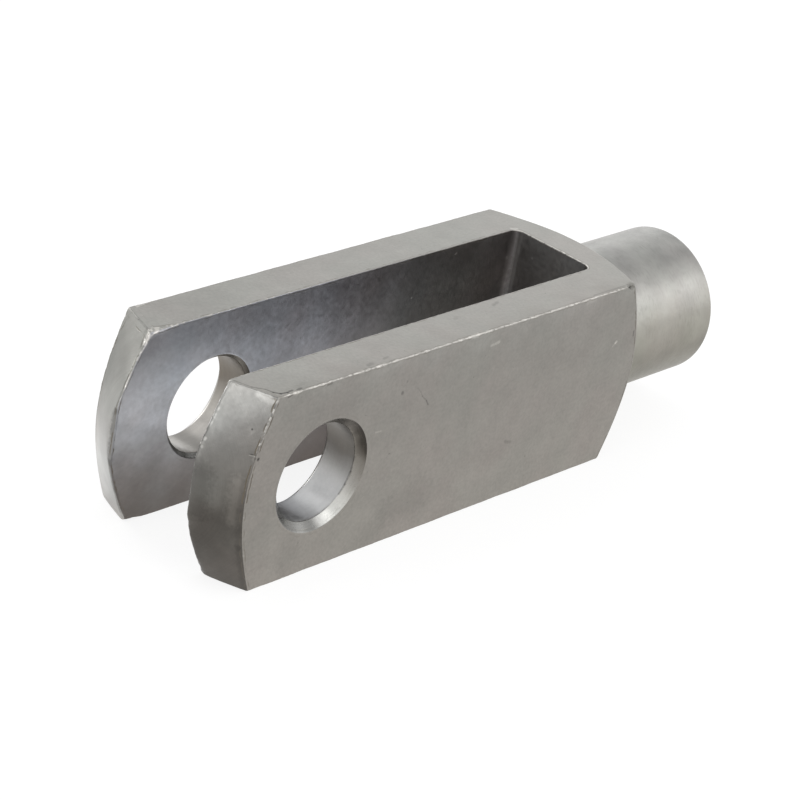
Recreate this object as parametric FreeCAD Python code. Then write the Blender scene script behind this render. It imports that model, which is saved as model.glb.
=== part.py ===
import FreeCAD, Part
import math
import os

# Fork head for the end of a tension rod: a square steel bar, turned at both ends,
# slotted to take a flat lug, cross-bored for the pin and tapped for the rod.
# Millimetres. The origin is the centre of the pin bore. X runs along the rod towards
# the threaded neck, Y along the pin and Z up, with the head lying on a bar face.

# Square bar
bar_width = 20.0
bar_corner_radius = 0.3

# Slot for the lug
slot_width = 10.25
slot_reach = 41.5
slot_corner_radius = 1.0
slot_mouth_chamfer = 0.4

# Turned front end: a flat that leaves a narrow land beside the slot, and a cone
tip_reach = 12.0
tip_land_width = 0.9
tip_cone_angle = 29.1

# Turned back end: a shoulder cone, which crosses the middle of each bar face at
# shoulder_reach, and the neck behind it
shoulder_reach = 45.2
shoulder_cone_angle = 31.7
neck_reach = 61.5
neck_diameter = 15.6
neck_root_radius = 0.5
neck_end_chamfer = 0.4

# Pin bore
pin_bore_diameter = 10.0
pin_bore_outer_chamfer = 0.8
pin_bore_inner_chamfer = 0.4

# Tapped bore for the rod, drawn at its drilled size
thread_diameter = 10.0
thread_pitch = 1.5
thread_lead_in = 0.2

# How far a cutter runs past the surface it cuts, and how near counts as touching
overrun = 1.0
touching = 0.001

X_AXIS = FreeCAD.Vector(1, 0, 0)
Y_AXIS = FreeCAD.Vector(0, 1, 0)
Z_AXIS = FreeCAD.Vector(0, 0, 1)
ORIGIN = FreeCAD.Vector(0, 0, 0)

tip_flat_radius = slot_width / 2 + tip_land_width


def cone_rise(radial_run, angle):
    """Distance along the rod that a turned cone gains over a radial distance."""
    return radial_run * math.tan(math.radians(angle))


def corner_arc(before, corner, after, radius):
    """Start, middle and end of the arc that rounds one corner of an outline."""
    to_before = (before - corner).normalize()
    to_after = (after - corner).normalize()
    half_angle = to_before.getAngle(to_after) / 2
    tangent_length = radius / math.tan(half_angle)
    bisector = (to_before + to_after).normalize()
    centre = corner + bisector * (radius / math.sin(half_angle))
    start = corner + to_before * tangent_length
    end = corner + to_after * tangent_length
    return start, centre - bisector * radius, end


def face_of(corners):
    """Flat face inside a closed outline of (corner, radius) pairs, radius 0 for sharp."""
    points = [corner for corner, _ in corners]
    count = len(corners)
    edges = []
    ends = []
    for index, (corner, radius) in enumerate(corners):
        if radius > 0:
            before = points[index - 1]
            after = points[(index + 1) % count]
            start, middle, end = corner_arc(before, corner, after, radius)
            edges.append(Part.Arc(start, middle, end).toShape())
            ends.append((start, end))
        else:
            ends.append((corner, corner))
    for index in range(count):
        leaves = ends[index][1]
        arrives = ends[(index + 1) % count][0]
        edges.append(Part.LineSegment(leaves, arrives).toShape())
    return Part.Face(Part.Wire(Part.__sortEdges__(edges)))


def turned(stations, axis):
    """Solid turned about an axis through the origin from (place, radius, rounding)."""
    corners = [(axis * place + Z_AXIS * radius, rounding) for place, radius, rounding in stations]
    return face_of(corners).revolve(ORIGIN, axis, 360)


def square_bar():
    """Square bar with its rolled corners, as long as the finished head."""
    half = bar_width / 2
    signs = [(-1, -1), (1, -1), (1, 1), (-1, 1)]
    corners = [
        (FreeCAD.Vector(-tip_reach, half * side, half * up), bar_corner_radius)
        for side, up in signs
    ]
    return face_of(corners).extrude(X_AXIS * (tip_reach + neck_reach))


def turned_envelope():
    """Everything that the lathe leaves: front flat and cone, shoulder cone and neck."""
    face_radius = bar_width / 2
    clear_radius = face_radius * math.sqrt(2) + overrun
    neck_radius = neck_diameter / 2
    front_back = -tip_reach + cone_rise(clear_radius - tip_flat_radius, tip_cone_angle)
    shoulder_front = shoulder_reach - cone_rise(clear_radius - face_radius, shoulder_cone_angle)
    neck_start = shoulder_reach + cone_rise(face_radius - neck_radius, shoulder_cone_angle)
    stations = [
        (-tip_reach, 0, 0),
        (-tip_reach, tip_flat_radius, 0),
        (front_back, clear_radius, 0),
        (shoulder_front, clear_radius, 0),
        (neck_start, neck_radius, neck_root_radius),
        (neck_reach - neck_end_chamfer, neck_radius, 0),
        (neck_reach, neck_radius - neck_end_chamfer, 0),
        (neck_reach, 0, 0),
    ]
    return turned(stations, X_AXIS)


def slot_cutter():
    """Milled slot with the cutter's corner radius at its bottom, open at the tips."""
    half = slot_width / 2
    mouth = -tip_reach - overrun
    below = -bar_width / 2 - overrun
    corners = [
        (FreeCAD.Vector(mouth, -half, below), 0),
        (FreeCAD.Vector(slot_reach, -half, below), slot_corner_radius),
        (FreeCAD.Vector(slot_reach, half, below), slot_corner_radius),
        (FreeCAD.Vector(mouth, half, below), 0),
    ]
    return face_of(corners).extrude(Z_AXIS * (bar_width + 2 * overrun))


def pin_bore_cutter():
    """Reamed bore through both cheeks, chamfered on both sides of each cheek."""
    radius = pin_bore_diameter / 2
    outer_face = bar_width / 2
    inner_face = slot_width / 2
    outer_radius = radius + pin_bore_outer_chamfer
    inner_radius = radius + pin_bore_inner_chamfer
    one_cheek = [
        (inner_face, inner_radius, 0),
        (inner_face + pin_bore_inner_chamfer, radius, 0),
        (outer_face - pin_bore_outer_chamfer, radius, 0),
        (outer_face, outer_radius, 0),
        (outer_face + overrun, outer_radius, 0),
        (outer_face + overrun, 0, 0),
    ]
    other_cheek = [(-place, at_radius, 0) for place, at_radius, _ in reversed(one_cheek)]
    return turned(other_cheek + one_cheek, Y_AXIS)


def rod_bore_cutter():
    """Tapping-size bore from the neck end into the slot, with its lead-in."""
    drilled = (thread_diameter - thread_pitch) / 2
    lead_in = thread_diameter / 2 + thread_lead_in
    stations = [
        (slot_reach - overrun, 0, 0),
        (slot_reach - overrun, drilled, 0),
        (neck_reach - (lead_in - drilled), drilled, 0),
        (neck_reach, lead_in, 0),
        (neck_reach + overrun, lead_in, 0),
        (neck_reach + overrun, 0, 0),
    ]
    return turned(stations, X_AXIS)


def slot_mouth_edges(head):
    """Edges where the slot walls meet the turned front of the two cheeks."""
    mouth = []
    for edge in head.Edges:
        middle = edge.valueAt((edge.FirstParameter + edge.LastParameter) / 2)
        from_axis = math.hypot(middle.y, middle.z)
        past_flat = max(0, from_axis - tip_flat_radius)
        front = -tip_reach + cone_rise(past_flat, tip_cone_angle)
        on_wall = abs(abs(middle.y) - slot_width / 2) < touching
        if on_wall and abs(middle.x - front) < touching:
            mouth.append(edge)
    return mouth


def fork_head():
    """The finished one-piece head."""
    head = square_bar().common(turned_envelope())
    head = head.cut(slot_cutter())
    head = head.cut(pin_bore_cutter())
    head = head.cut(rod_bore_cutter())
    head = head.makeChamfer(slot_mouth_chamfer, slot_mouth_edges(head))
    return head.removeSplitter()


def main():
    """Builds the head, reports its measures and writes it."""
    os.makedirs("parts", exist_ok=True)
    head = fork_head()
    box = head.optimalBoundingBox(True, False)
    print("solids", len(head.Solids), "valid", head.isValid(), "faces", len(head.Faces))
    print("size", round(box.XLength, 3), round(box.YLength, 3), round(box.ZLength, 3))
    print("volume", round(head.Volume, 1))
    head.Solids[0].exportStep("parts/fork_head.step")


main()
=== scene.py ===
"""Looks of the fork head for a tension rod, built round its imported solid.

The head is one piece of steel: a square bar with turned ends, a milled slot, a pin bore
through both cheeks and a tapped neck. Its sharp faces are meshed from the same sizes as
the solid, and then every edge is broken, burred and dented by a small distance field.
Sizes in the classes are millimetres, and the finished mesh is in metres.
"""

import logging
import math
from dataclasses import dataclass, field
from enum import Enum
from functools import reduce
from typing import Callable, Iterable, Optional

import bmesh
import bpy
import numpy as np
from mathutils import Matrix, Vector, noise
from mathutils.geometry import delaunay_2d_cdt

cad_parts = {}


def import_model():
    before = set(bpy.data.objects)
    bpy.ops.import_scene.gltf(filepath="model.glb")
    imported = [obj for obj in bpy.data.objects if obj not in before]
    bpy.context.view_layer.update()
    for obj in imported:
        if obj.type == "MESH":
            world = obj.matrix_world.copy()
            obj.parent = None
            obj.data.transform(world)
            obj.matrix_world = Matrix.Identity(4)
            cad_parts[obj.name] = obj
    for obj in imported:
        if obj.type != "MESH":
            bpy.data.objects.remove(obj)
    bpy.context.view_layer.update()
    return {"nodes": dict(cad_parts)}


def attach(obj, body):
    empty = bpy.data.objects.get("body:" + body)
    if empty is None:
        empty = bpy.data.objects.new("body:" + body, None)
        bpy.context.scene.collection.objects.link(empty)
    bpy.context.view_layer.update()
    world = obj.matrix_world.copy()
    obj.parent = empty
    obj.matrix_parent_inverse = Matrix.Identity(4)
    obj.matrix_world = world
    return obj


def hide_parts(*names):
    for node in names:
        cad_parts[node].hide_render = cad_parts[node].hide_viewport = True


LOG = logging.getLogger("fork_head")

Array = np.ndarray
Triple = tuple[float, float, float]
Colour = Triple
Socket = bpy.types.NodeSocket
Value = float | tuple | Socket
MILLIMETRE = 0.001


class Region(Enum):
    """The machined surfaces of the head, each with a finish of its own."""

    BAR_FACE = 0
    SLOT = 1
    TURNED_FRONT = 2
    TURNED_NECK = 3
    PIN_BORE = 4
    PIN_CHAMFER = 5
    THREAD = 6


class Lay(Enum):
    """The direction in which a tool has left its marks."""

    ALONG_BAR = "along the bar"
    SLOT_MILL = "arcs of the slot mill"
    ROUND_ROD_AXIS = "rings on a turned cone"
    ROUND_NECK = "turns along the neck"
    ROUND_PIN_AXIS = "turns along the pin bore"


def round_max(first: Array, second: Array, radius: Array | float) -> Array:
    """Outer of two distances, with the edge between them rounded.

    Args:
        first: Distances outside one surface.
        second: Distances outside the other surface.
        radius: Radius of the rounded edge.

    Returns:
        Distances outside the solid that both surfaces bound.
    """
    past_first = np.maximum(first + radius, 0.0)
    past_second = np.maximum(second + radius, 0.0)
    rounded = np.hypot(past_first, past_second) - radius
    return np.where(np.minimum(first, second) < -radius, np.maximum(first, second), rounded)


def round_min(first: Array, second: Array, radius: float) -> Array:
    """Distance outside two joined solids, with a fillet in the corner between them."""
    return -round_max(-first, -second, radius)


def columns(*parts: Array | float) -> Array:
    """Points from their coordinates, each a row of numbers or one number for all."""
    return np.column_stack(np.broadcast_arrays(*parts))


def spaced(start: float, stop: float, step: float) -> Array:
    """Even stations from start to stop, both included, about one step apart."""
    return np.linspace(start, stop, max(1, round(abs(stop - start) / step)) + 1)


def ramp(places: Array, start: float, stop: float, least: float = 0.0) -> Array:
    """Shares that change evenly from 0 at one place to 1 at another.

    Args:
        places: Places along a line.
        start: Place where the share would be 0.
        stop: Place where it reaches 1 and stays.
        least: Lowest share that is given.

    Returns:
        One share for each place.
    """
    return np.clip((places - start) / (stop - start), least, 1.0)


def circle(radius: float, count: int) -> Array:
    """Closed circle of points, its first point repeated at the end."""
    angles = np.arange(count + 1) % count * (2 * math.pi / count)
    return columns(np.cos(angles), np.sin(angles)) * radius


def field_noise(points: Array, size: float, seed: float) -> Array:
    """Smooth noise from about -1 to 1 at each point.

    Args:
        points: Points in millimetres.
        size: Size of the features.
        seed: Offset that gives each use a pattern of its own.

    Returns:
        One value for each point.
    """
    scaled = points / size + seed
    return np.array([noise.noise(Vector(row)) for row in scaled.tolist()])


def in_scene(name: str, data: bpy.types.ID) -> bpy.types.Object:
    """New object in the scene."""
    placed = bpy.data.objects.new(name, data)
    bpy.context.scene.collection.objects.link(placed)
    return placed


@dataclass(frozen=True)
class TurnedFront:
    """Front end as the lathe leaves it: a flat in the middle and a cone round it."""

    reach: float = 12.0
    flat_radius: float = 6.025
    cone_angle: float = 29.1
    crease_radius: float = 0.12

    @property
    def slope(self) -> float:
        """Gain along the rod per unit of radius on the cone."""
        return math.tan(math.radians(self.cone_angle))

    def place(self, from_axis: Array) -> Array:
        """X of the front surface at a distance from the rod axis."""
        return -self.reach + np.maximum(0.0, from_axis - self.flat_radius) * self.slope

    def outside(self, x: Array, from_axis: Array) -> Array:
        """Distance in front of the turned end."""
        shortening = math.cos(math.radians(self.cone_angle))
        flat = -self.reach - x
        cone = (flat + (from_axis - self.flat_radius) * self.slope) * shortening
        return round_max(flat, cone, self.crease_radius)


@dataclass(frozen=True)
class TurnedNeck:
    """Shoulder cone and the neck behind it."""

    shoulder_reach: float = 45.2
    face_radius: float = 10.0
    cone_angle: float = 31.7
    reach: float = 61.5
    radius: float = 7.8
    root_radius: float = 0.5
    end_chamfer: float = 0.4
    edge_radius: float = 0.07

    @property
    def slope(self) -> float:
        """Gain along the rod per unit of radius lost on the shoulder cone."""
        return math.tan(math.radians(self.cone_angle))

    def place(self, from_axis: Array) -> Array:
        """X of the shoulder cone at a distance from the rod axis."""
        return self.shoulder_reach + (self.face_radius - from_axis) * self.slope

    @property
    def tangent(self) -> float:
        """Length that the fillet takes from the cone and from the neck."""
        return self.root_radius / math.tan(math.radians(90.0 + self.cone_angle) / 2)

    @property
    def foot(self) -> float:
        """X where the fillet runs out into the neck."""
        return float(self.place(np.float64(self.radius))) + self.tangent

    def root(self) -> tuple[float, float]:
        """X and radius where the cone runs into the fillet at the neck."""
        angle = math.radians(self.cone_angle)
        corner = float(self.place(np.float64(self.radius)))
        along = self.tangent * math.sin(angle)
        return corner - along, self.radius + self.tangent * math.cos(angle)

    def outside(self, x: Array, from_axis: Array) -> Array:
        """Distance outside the shoulder and the neck, which are joined by a fillet."""
        shoulder = (x - self.place(from_axis)) * math.cos(math.radians(self.cone_angle))
        chamfer = (x - self.reach + from_axis - self.radius + self.end_chamfer) / math.sqrt(2)
        neck = round_max(from_axis - self.radius, chamfer, self.edge_radius)
        neck = round_max(neck, x - self.reach, self.edge_radius)
        return round_min(shoulder, neck, self.root_radius)


@dataclass(frozen=True)
class LugSlot:
    """Milled slot, followed by its run: 0 at the middle of its bottom, + on the far side."""

    half_width: float = 5.125
    reach: float = 41.5
    corner_radius: float = 1.0
    points_round_corner: int = 13

    @property
    def flat_run(self) -> float:
        """Run at which the bottom goes over into its corner."""
        return self.half_width - self.corner_radius

    @property
    def wall_run(self) -> float:
        """Run at which the corner goes over into the wall."""
        return self.flat_run + self.corner_radius * math.pi / 2

    def corner_runs(self) -> Array:
        """Runs of the points round the far corner."""
        return np.linspace(self.flat_run, self.wall_run, self.points_round_corner)

    def run_at(self, x: Array) -> Array:
        """Run of a place on the far wall."""
        return self.wall_run + self.reach - self.corner_radius - x

    def plan(self, run: Array) -> Array:
        """X and Y of places along the outline of the slot."""
        along = np.abs(run)
        turn = np.clip((along - self.flat_run) / self.corner_radius, 0.0, math.pi / 2)
        x = self.reach - self.corner_radius * (1 - np.cos(turn))
        x = x - np.maximum(0.0, along - self.wall_run)
        y = np.minimum(along, self.flat_run) + self.corner_radius * np.sin(turn)
        return columns(x, np.copysign(y, run))

    def bottom_at(self, y: Array) -> Array:
        """X of the slot's bottom and its corners."""
        past = np.clip(np.abs(y) - self.flat_run, 0.0, self.corner_radius)
        return self.reach - self.corner_radius + np.sqrt(self.corner_radius**2 - past**2)

    def outside(self, x: Array, y: Array) -> Array:
        """Distance inside the milled slot, which is outside the steel."""
        past_x = x - self.reach + self.corner_radius
        past_y = np.abs(y) - self.flat_run
        corner = np.hypot(np.maximum(past_x, 0.0), np.maximum(past_y, 0.0))
        return self.corner_radius - corner - np.minimum(np.maximum(past_x, past_y), 0.0)


@dataclass(frozen=True)
class PinBore:
    """Reamed bore through both cheeks, chamfered where it breaks each surface."""

    radius: float = 5.0
    outer_chamfer: float = 0.8
    inner_chamfer: float = 0.4
    outer_face: float = 10.0
    inner_face: float = 5.125
    edge_radius: float = 0.05
    points_round: int = 144

    def profile(self) -> list[tuple[float, float]]:
        """Place along the pin and radius of the corners in one cheek, from outside in."""
        return [
            (self.outer_face, self.radius + self.outer_chamfer),
            (self.outer_face - self.outer_chamfer, self.radius),
            (self.inner_face + self.inner_chamfer, self.radius),
            (self.inner_face, self.radius + self.inner_chamfer),
        ]

    def outside(self, y: Array, from_pin: Array) -> Array:
        """Distance inside the bore and its chamfers, which is outside the steel."""
        across = np.abs(y)
        bore = self.radius - from_pin
        outer = (bore + across - self.outer_face + self.outer_chamfer) / math.sqrt(2)
        inner = (bore - across + self.inner_face + self.inner_chamfer) / math.sqrt(2)
        return round_max(round_max(bore, outer, self.edge_radius), inner, self.edge_radius)


@dataclass(frozen=True)
class RodThread:
    """Right-handed internal thread, from the slot's bottom to the lead-in at the neck's end."""

    diameter: float = 10.0
    pitch: float = 1.5
    lead_in: float = 0.2
    neck_reach: float = 61.5
    points_round: int = 160
    search_step: float = 0.005

    @property
    def depth(self) -> float:
        """Height of the thread from crest to root."""
        return 5 / 8 * math.sqrt(3) / 2 * self.pitch

    @property
    def rim_radius(self) -> float:
        """Radius at which the lead-in meets the neck's end."""
        return self.diameter / 2 + self.lead_in

    def stations(self) -> list[tuple[float, float]]:
        """Share of a pitch and share of the depth of the points on one thread."""
        return [
            (0.0, 0.0),
            (0.25, 0.0),
            (0.265, 0.03),
            (0.40625, 0.5),
            (0.548, 0.97),
            (0.5625, 1.0),
            (0.6875, 1.0),
            (0.702, 0.97),
            (0.84375, 0.5),
            (0.985, 0.03),
        ]

    def radius_at(self, x: Array, turns: Array) -> Array:
        """Radius of the tapped wall at a place along the rod and round it."""
        shares, heights = zip(*(self.stations() + [(1.0, 0.0)]))
        phase = (x / self.pitch - turns) % 1.0
        crest = self.diameter / 2 - self.depth
        threaded = crest + self.depth * np.interp(phase, shares, heights)
        lead = self.rim_radius - (self.neck_reach - x)
        return np.maximum(threaded, lead)

    def turns(self) -> Array:
        """Share of a full turn of each point round the bore."""
        return np.arange(self.points_round) / self.points_round

    def exit_curve(self, slot: LugSlot) -> Array:
        """Where the tapped wall breaks into the slot's bottom, as X, Y, Z round the bore."""
        first = slot.reach - slot.corner_radius
        fine = np.arange(first, slot.reach + self.pitch, self.search_step)
        rows = []
        for turn in self.turns():
            angle = turn * 2 * math.pi
            radii = self.radius_at(fine, np.full_like(fine, turn))
            inside_slot = fine < slot.bottom_at(radii * math.cos(angle))
            index = min(int(np.nonzero(inside_slot)[0].max()) + 1, len(fine) - 1)
            radius = float(radii[index])
            y = radius * math.cos(angle)
            x = float(slot.bottom_at(np.float64(y)))
            rows.append((x, y, radius * math.sin(angle)))
        return np.array(rows)

    def rings(self, slot: LugSlot) -> Array:
        """Rows of points that follow the thread from the slot to the neck's end."""
        turns = self.turns()
        angles = turns * 2 * math.pi
        start = self.exit_curve(slot)
        first_x = start[:, 0]
        first_radius = np.hypot(start[:, 1], start[:, 2])
        first_turn = math.floor((slot.reach - slot.corner_radius) / self.pitch) - 1
        last_turn = math.ceil(self.neck_reach / self.pitch) + 1
        rows = []
        for whole in range(first_turn, last_turn):
            for share, _ in self.stations():
                x = (whole + share + turns) * self.pitch
                held = np.clip(x, first_x, self.neck_reach)
                radius = np.where(x <= first_x, first_radius, self.radius_at(held, turns))
                rows.append(columns(held, radius * np.cos(angles), radius * np.sin(angles)))
        return np.array(rows)


@dataclass(frozen=True)
class EdgeBreak:
    """How one kind of edge is rounded, and how finely the faces are cut beside it.

    The lip is the height to which its metal is raised. The burr says how much of the edge
    shines, and the last value how dark the painted shadow line beside it is.
    """

    radius: float = 0.0
    rows: tuple[float, ...] = ()
    lip: float = 0.0
    burr: float = 0.0
    shade_line: float = 0.0


FINE_ROWS = (0.03, 0.06, 0.1, 0.16)


@dataclass(frozen=True)
class EdgeBreaks:
    """Broken edges of the head.

    The inner corners of the far cheek and the lower one of the near cheek were dressed
    the most.
    """

    long_edge: EdgeBreak = EdgeBreak(0.2, (0.05, 0.1, 0.16, 0.23, 0.32, 0.55, 1.1), 0.05, 1.0, 0.4)
    front_edge: EdgeBreak = EdgeBreak(0.09, (*FINE_ROWS, 0.26, 0.5, 1.0), 0.01, 0.05, 0.7)
    flank_edge: EdgeBreak = EdgeBreak(lip=0.09, burr=0.5, shade_line=1.6)
    shoulder_edge: EdgeBreak = EdgeBreak(0.1, (*FINE_ROWS, 0.3, 0.7), 0.01, 0.0, 0.9)
    slot_edge: EdgeBreak = EdgeBreak(0.1, (*FINE_ROWS, 0.3, 0.7), 0.02, 0.5, 0.6)
    mouth_edge: EdgeBreak = EdgeBreak(
        0.27, (0.07, 0.15, 0.25, 0.38, 0.55, 0.8, 1.1, 1.5), 0.04, 0.85, 0.7
    )
    bore_edge: EdgeBreak = EdgeBreak(0.05, (0.03, 0.06, 0.12, 0.3, 0.7), shade_line=0.15)
    root_edge: EdgeBreak = EdgeBreak(rows=(0.1, 0.25, 0.6))
    side_lean: float = 0.08
    corner_growth: float = 0.31
    corner_lean: float = 0.31
    corner_spread: float = 1.7
    corner_shift: float = 0.8
    near_corner_share: float = 0.6
    near_corner_falloff: float = 1.25
    crest_growth: float = 0.05
    far_front_share: float = 0.6
    wander: float = 0.35
    lip_width: float = 0.1


@dataclass(frozen=True)
class Dent:
    """A nick: everything near a line from start to end is pushed in."""

    start: Triple
    end: Triple
    radius: float
    depth: float

    def depth_at(self, points: Array) -> Array:
        """How far the nick pushes each point in."""
        start = np.array(self.start)
        along = np.array(self.end) - start
        share = np.clip((points - start) @ along / max(float(along @ along), 1e-9), 0.0, 1.0)
        gap = np.linalg.norm(points - start - share[:, None] * along, axis=1)
        return self.depth * np.clip(1 - (gap / self.radius) ** 2, 0.0, 1.0) ** 2


@dataclass(frozen=True)
class Border:
    """One run of a face's outline, and the rows of points cut beside it."""

    points: Array
    rows: tuple[float, ...]


@dataclass(frozen=True)
class Outline:
    """Closed loops in the plane, as the starts and the ends of their segments."""

    starts: Array
    ends: Array
    block: int = 2000

    @classmethod
    def of(cls, chains: list[Array]) -> "Outline":
        """Outline of closed chains of points."""
        after = [np.roll(chain, -1, axis=0) for chain in chains]
        return cls(np.vstack(chains), np.vstack(after))

    def distance(self, points: Array) -> Array:
        """Distance from each point to the nearest segment."""
        along = self.ends - self.starts
        length_squared = np.maximum((along**2).sum(1), 1e-12)
        nearest = np.empty(len(points))
        for first in range(0, len(points), self.block):
            offset = points[first : first + self.block, None, :] - self.starts[None, :, :]
            share = np.clip((offset * along).sum(2) / length_squared, 0.0, 1.0)
            gap = offset - share[:, :, None] * along
            nearest[first : first + self.block] = np.sqrt((gap**2).sum(2).min(1))
        return nearest

    def inside(self, points: Array) -> Array:
        """Whether each point lies inside, by counting the crossings beside it."""
        found = np.empty(len(points), bool)
        run = self.ends[:, 0] - self.starts[:, 0]
        rise = self.ends[:, 1] - self.starts[:, 1]
        rise = np.where(rise == 0.0, 1.0, rise)
        for first in range(0, len(points), self.block):
            x, y = np.hsplit(points[first : first + self.block], 2)
            spans = (self.starts[:, 1] > y) != (self.ends[:, 1] > y)
            crossing = self.starts[:, 0] + (y - self.starts[:, 1]) / rise * run
            found[first : first + self.block] = (spans & (crossing > x)).sum(1) % 2 == 1
        return found

    def clear(self, points: Array, gap: Array | float) -> Array:
        """The points that lie inside, further than a gap from every segment."""
        return points[(self.distance(points) > gap) & self.inside(points)]


def signed_area(points: Array) -> float:
    """Area inside a loop, positive where it runs anticlockwise."""
    after = np.roll(points, -1, axis=0)
    return float((points[:, 0] * after[:, 1] - after[:, 0] * points[:, 1]).sum()) / 2


def refined(corners: list[tuple[float, float]], near: Iterable[float], longest: float) -> Array:
    """Points along a profile, close together beside each corner.

    Args:
        corners: Corners of the profile.
        near: Distances from a corner at which a point is set.
        longest: Longest step elsewhere.

    Returns:
        The points from the first corner to the last.
    """
    rows = [np.array(corners[0], float)]
    for before, after in zip(corners, corners[1:]):
        start = np.array(before, float)
        end = np.array(after, float)
        length = float(np.linalg.norm(end - start))
        close = [gap for gap in near if gap < length / 2]
        marks = sorted({0.0, length, *close, *(length - gap for gap in close)})
        for low, high in zip(marks, marks[1:]):
            for place in spaced(low, high, longest)[1:]:
                rows.append(start + (end - start) * place / length)
    return np.array(rows)


# Shares of a gap or of the spacing, and then two distances in millimetres.
ROW_CLEARANCE = 0.93
ROW_STRIDE = 0.9
FILL_PITCH = 0.87
FILL_CLEARANCE = 0.8
EXTRA_CLEARANCE = 0.08
LINE_CLEARANCE = 0.02


@dataclass
class SurfaceMesh:
    """Points and faces gathered from every surface of the head."""

    points: list[Array] = field(default_factory=list)
    faces: list[tuple[int, ...]] = field(default_factory=list)
    regions: list[int] = field(default_factory=list)
    fixed: list[Array] = field(default_factory=list)
    count: int = 0

    def add(self, points: Array, faces: Iterable, region: Region, fixed: bool = False) -> None:
        """Adds points and the faces between them.

        Args:
            points: Points in space.
            faces: Faces as rows of indices into those points.
            region: The surface that the faces belong to.
            fixed: Whether the points keep their place when edges are broken.
        """
        shifted = [tuple(int(index) + self.count for index in face) for face in faces]
        self.points.append(points)
        self.faces.extend(shifted)
        self.regions.extend([region.value] * len(shifted))
        self.fixed.append(np.full(len(points), fixed))
        self.count += len(points)

    def add_rings(self, rings: Array, region: Region, shear: int = 0, fixed: bool = False) -> None:
        """Adds closed rings joined to each other by rows of quads.

        Args:
            rings: Rings of points, all with the same count.
            region: The surface that the faces belong to.
            shear: How many rings a full turn moves along, as on a thread.
            fixed: Whether the points keep their place when edges are broken.
        """
        rows, around = rings.shape[:2]
        last = rows - 1
        faces = []
        for row in range(last):
            for index in range(around):
                after = (index + 1) % around
                moved = row + shear if after == 0 else row
                beyond = [min(place, last) * around + after for place in (moved, moved + 1)]
                faces.append((row * around + index, *beyond, (row + 1) * around + index))
        self.add(rings.reshape(-1, 3), faces, region, fixed)

    def add_face(
        self,
        loops: list[list[Border]],
        lift: Callable[[Array], Array],
        region: Region,
        spacing: float,
        extra: Optional[Array] = None,
        lines: Iterable[Array] = (),
    ) -> None:
        """Meshes one face inside its outline and carries it into space.

        Args:
            loops: Closed loops of borders, the outer one first.
            lift: Carries points of the flat face into space.
            region: The surface that the face belongs to.
            spacing: Step between the points far from any edge.
            extra: Further points to keep inside the face.
            lines: Open lines that edges of the mesh must follow.
        """
        chains = [np.vstack([border.points[:-1] for border in loop]) for loop in loops]
        outline = Outline.of(chains)
        kept = []
        for index, (loop, chain) in enumerate(zip(loops, chains)):
            for points, gap in self.rows_beside(loop, chain, index == 0):
                kept.append(outline.clear(points, ROW_CLEARANCE * gap))
        kept.append(outline.clear(self.filling(chains[0], spacing), FILL_CLEARANCE * spacing))
        if extra is not None:
            kept.append(outline.clear(extra, EXTRA_CLEARANCE))
        held = [outline.clear(line, LINE_CLEARANCE) for line in lines]
        edges = []
        first = 0
        for chain in chains:
            edges += [(first + k, first + (k + 1) % len(chain)) for k in range(len(chain))]
            first += len(chain)
        for line in held:
            edges += [(first + k, first + k + 1) for k in range(len(line) - 1)]
            first += len(line)
        flat = [Vector(point) for point in np.vstack([*chains, *held, *kept]).tolist()]
        same_point = 1e-6
        places, _, faces, *_ = delaunay_2d_cdt(flat, edges, [], 0, same_point, True)
        places = np.array([tuple(vertex) for vertex in places])
        triangles = np.array([tuple(face) for face in faces], int)
        triangles = triangles[outline.inside(places[triangles].mean(1))]
        self.add(lift(places), triangles, region)

    @staticmethod
    def rows_beside(loop: list[Border], chain: Array, outer: bool) -> list[tuple[Array, float]]:
        """Rows of points beside each border of a loop, each with its gap from the border.

        Args:
            loop: Borders of the loop.
            chain: The loop's points.
            outer: Whether the face lies inside the loop, and not round it.

        Returns:
            The rows and their gaps.
        """
        inward = 1.0 if (signed_area(chain) > 0) == outer else -1.0
        rows = []
        for border in loop:
            points = border.points
            along = np.gradient(points, axis=0)
            if np.allclose(points[0], points[-1]):
                along[0] = along[-1] = points[1] - points[-2]
            along /= np.maximum(np.linalg.norm(along, axis=1), 1e-12)[:, None]
            normal = np.column_stack([-along[:, 1], along[:, 0]]) * inward
            step = float(np.linalg.norm(np.diff(points, axis=0), axis=1).mean())
            for gap in border.rows:
                stride = max(1, int(gap * ROW_STRIDE / step))
                some = slice(stride // 2, None, stride)
                rows.append((points[some] + normal[some] * gap, gap))
        return rows

    @staticmethod
    def filling(chain: Array, spacing: float) -> Array:
        """Staggered rows of points over the box of a loop."""
        low = chain.min(0)
        high = chain.max(0)
        rows = []
        heights = np.arange(low[1] + spacing / 2, high[1], spacing * FILL_PITCH)
        for index, height in enumerate(heights):
            shift = spacing / 2 if index % 2 else 0.0
            across = np.arange(low[0] + spacing / 3 + shift, high[0], spacing)
            rows.append(columns(across, height))
        return np.vstack(rows)


@dataclass(frozen=True)
class Wear:
    """How far each point's edges are broken, and how much it is raised or pushed in."""

    long_edge: Array
    front_edge: Array
    shoulder_edge: Array
    slot_edge: Array
    bore_edge: Array
    raised: Array
    to_edge: Array
    burr: Array
    # Darkness of the painted shadow line beside each edge.
    shade_line: Array


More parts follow.
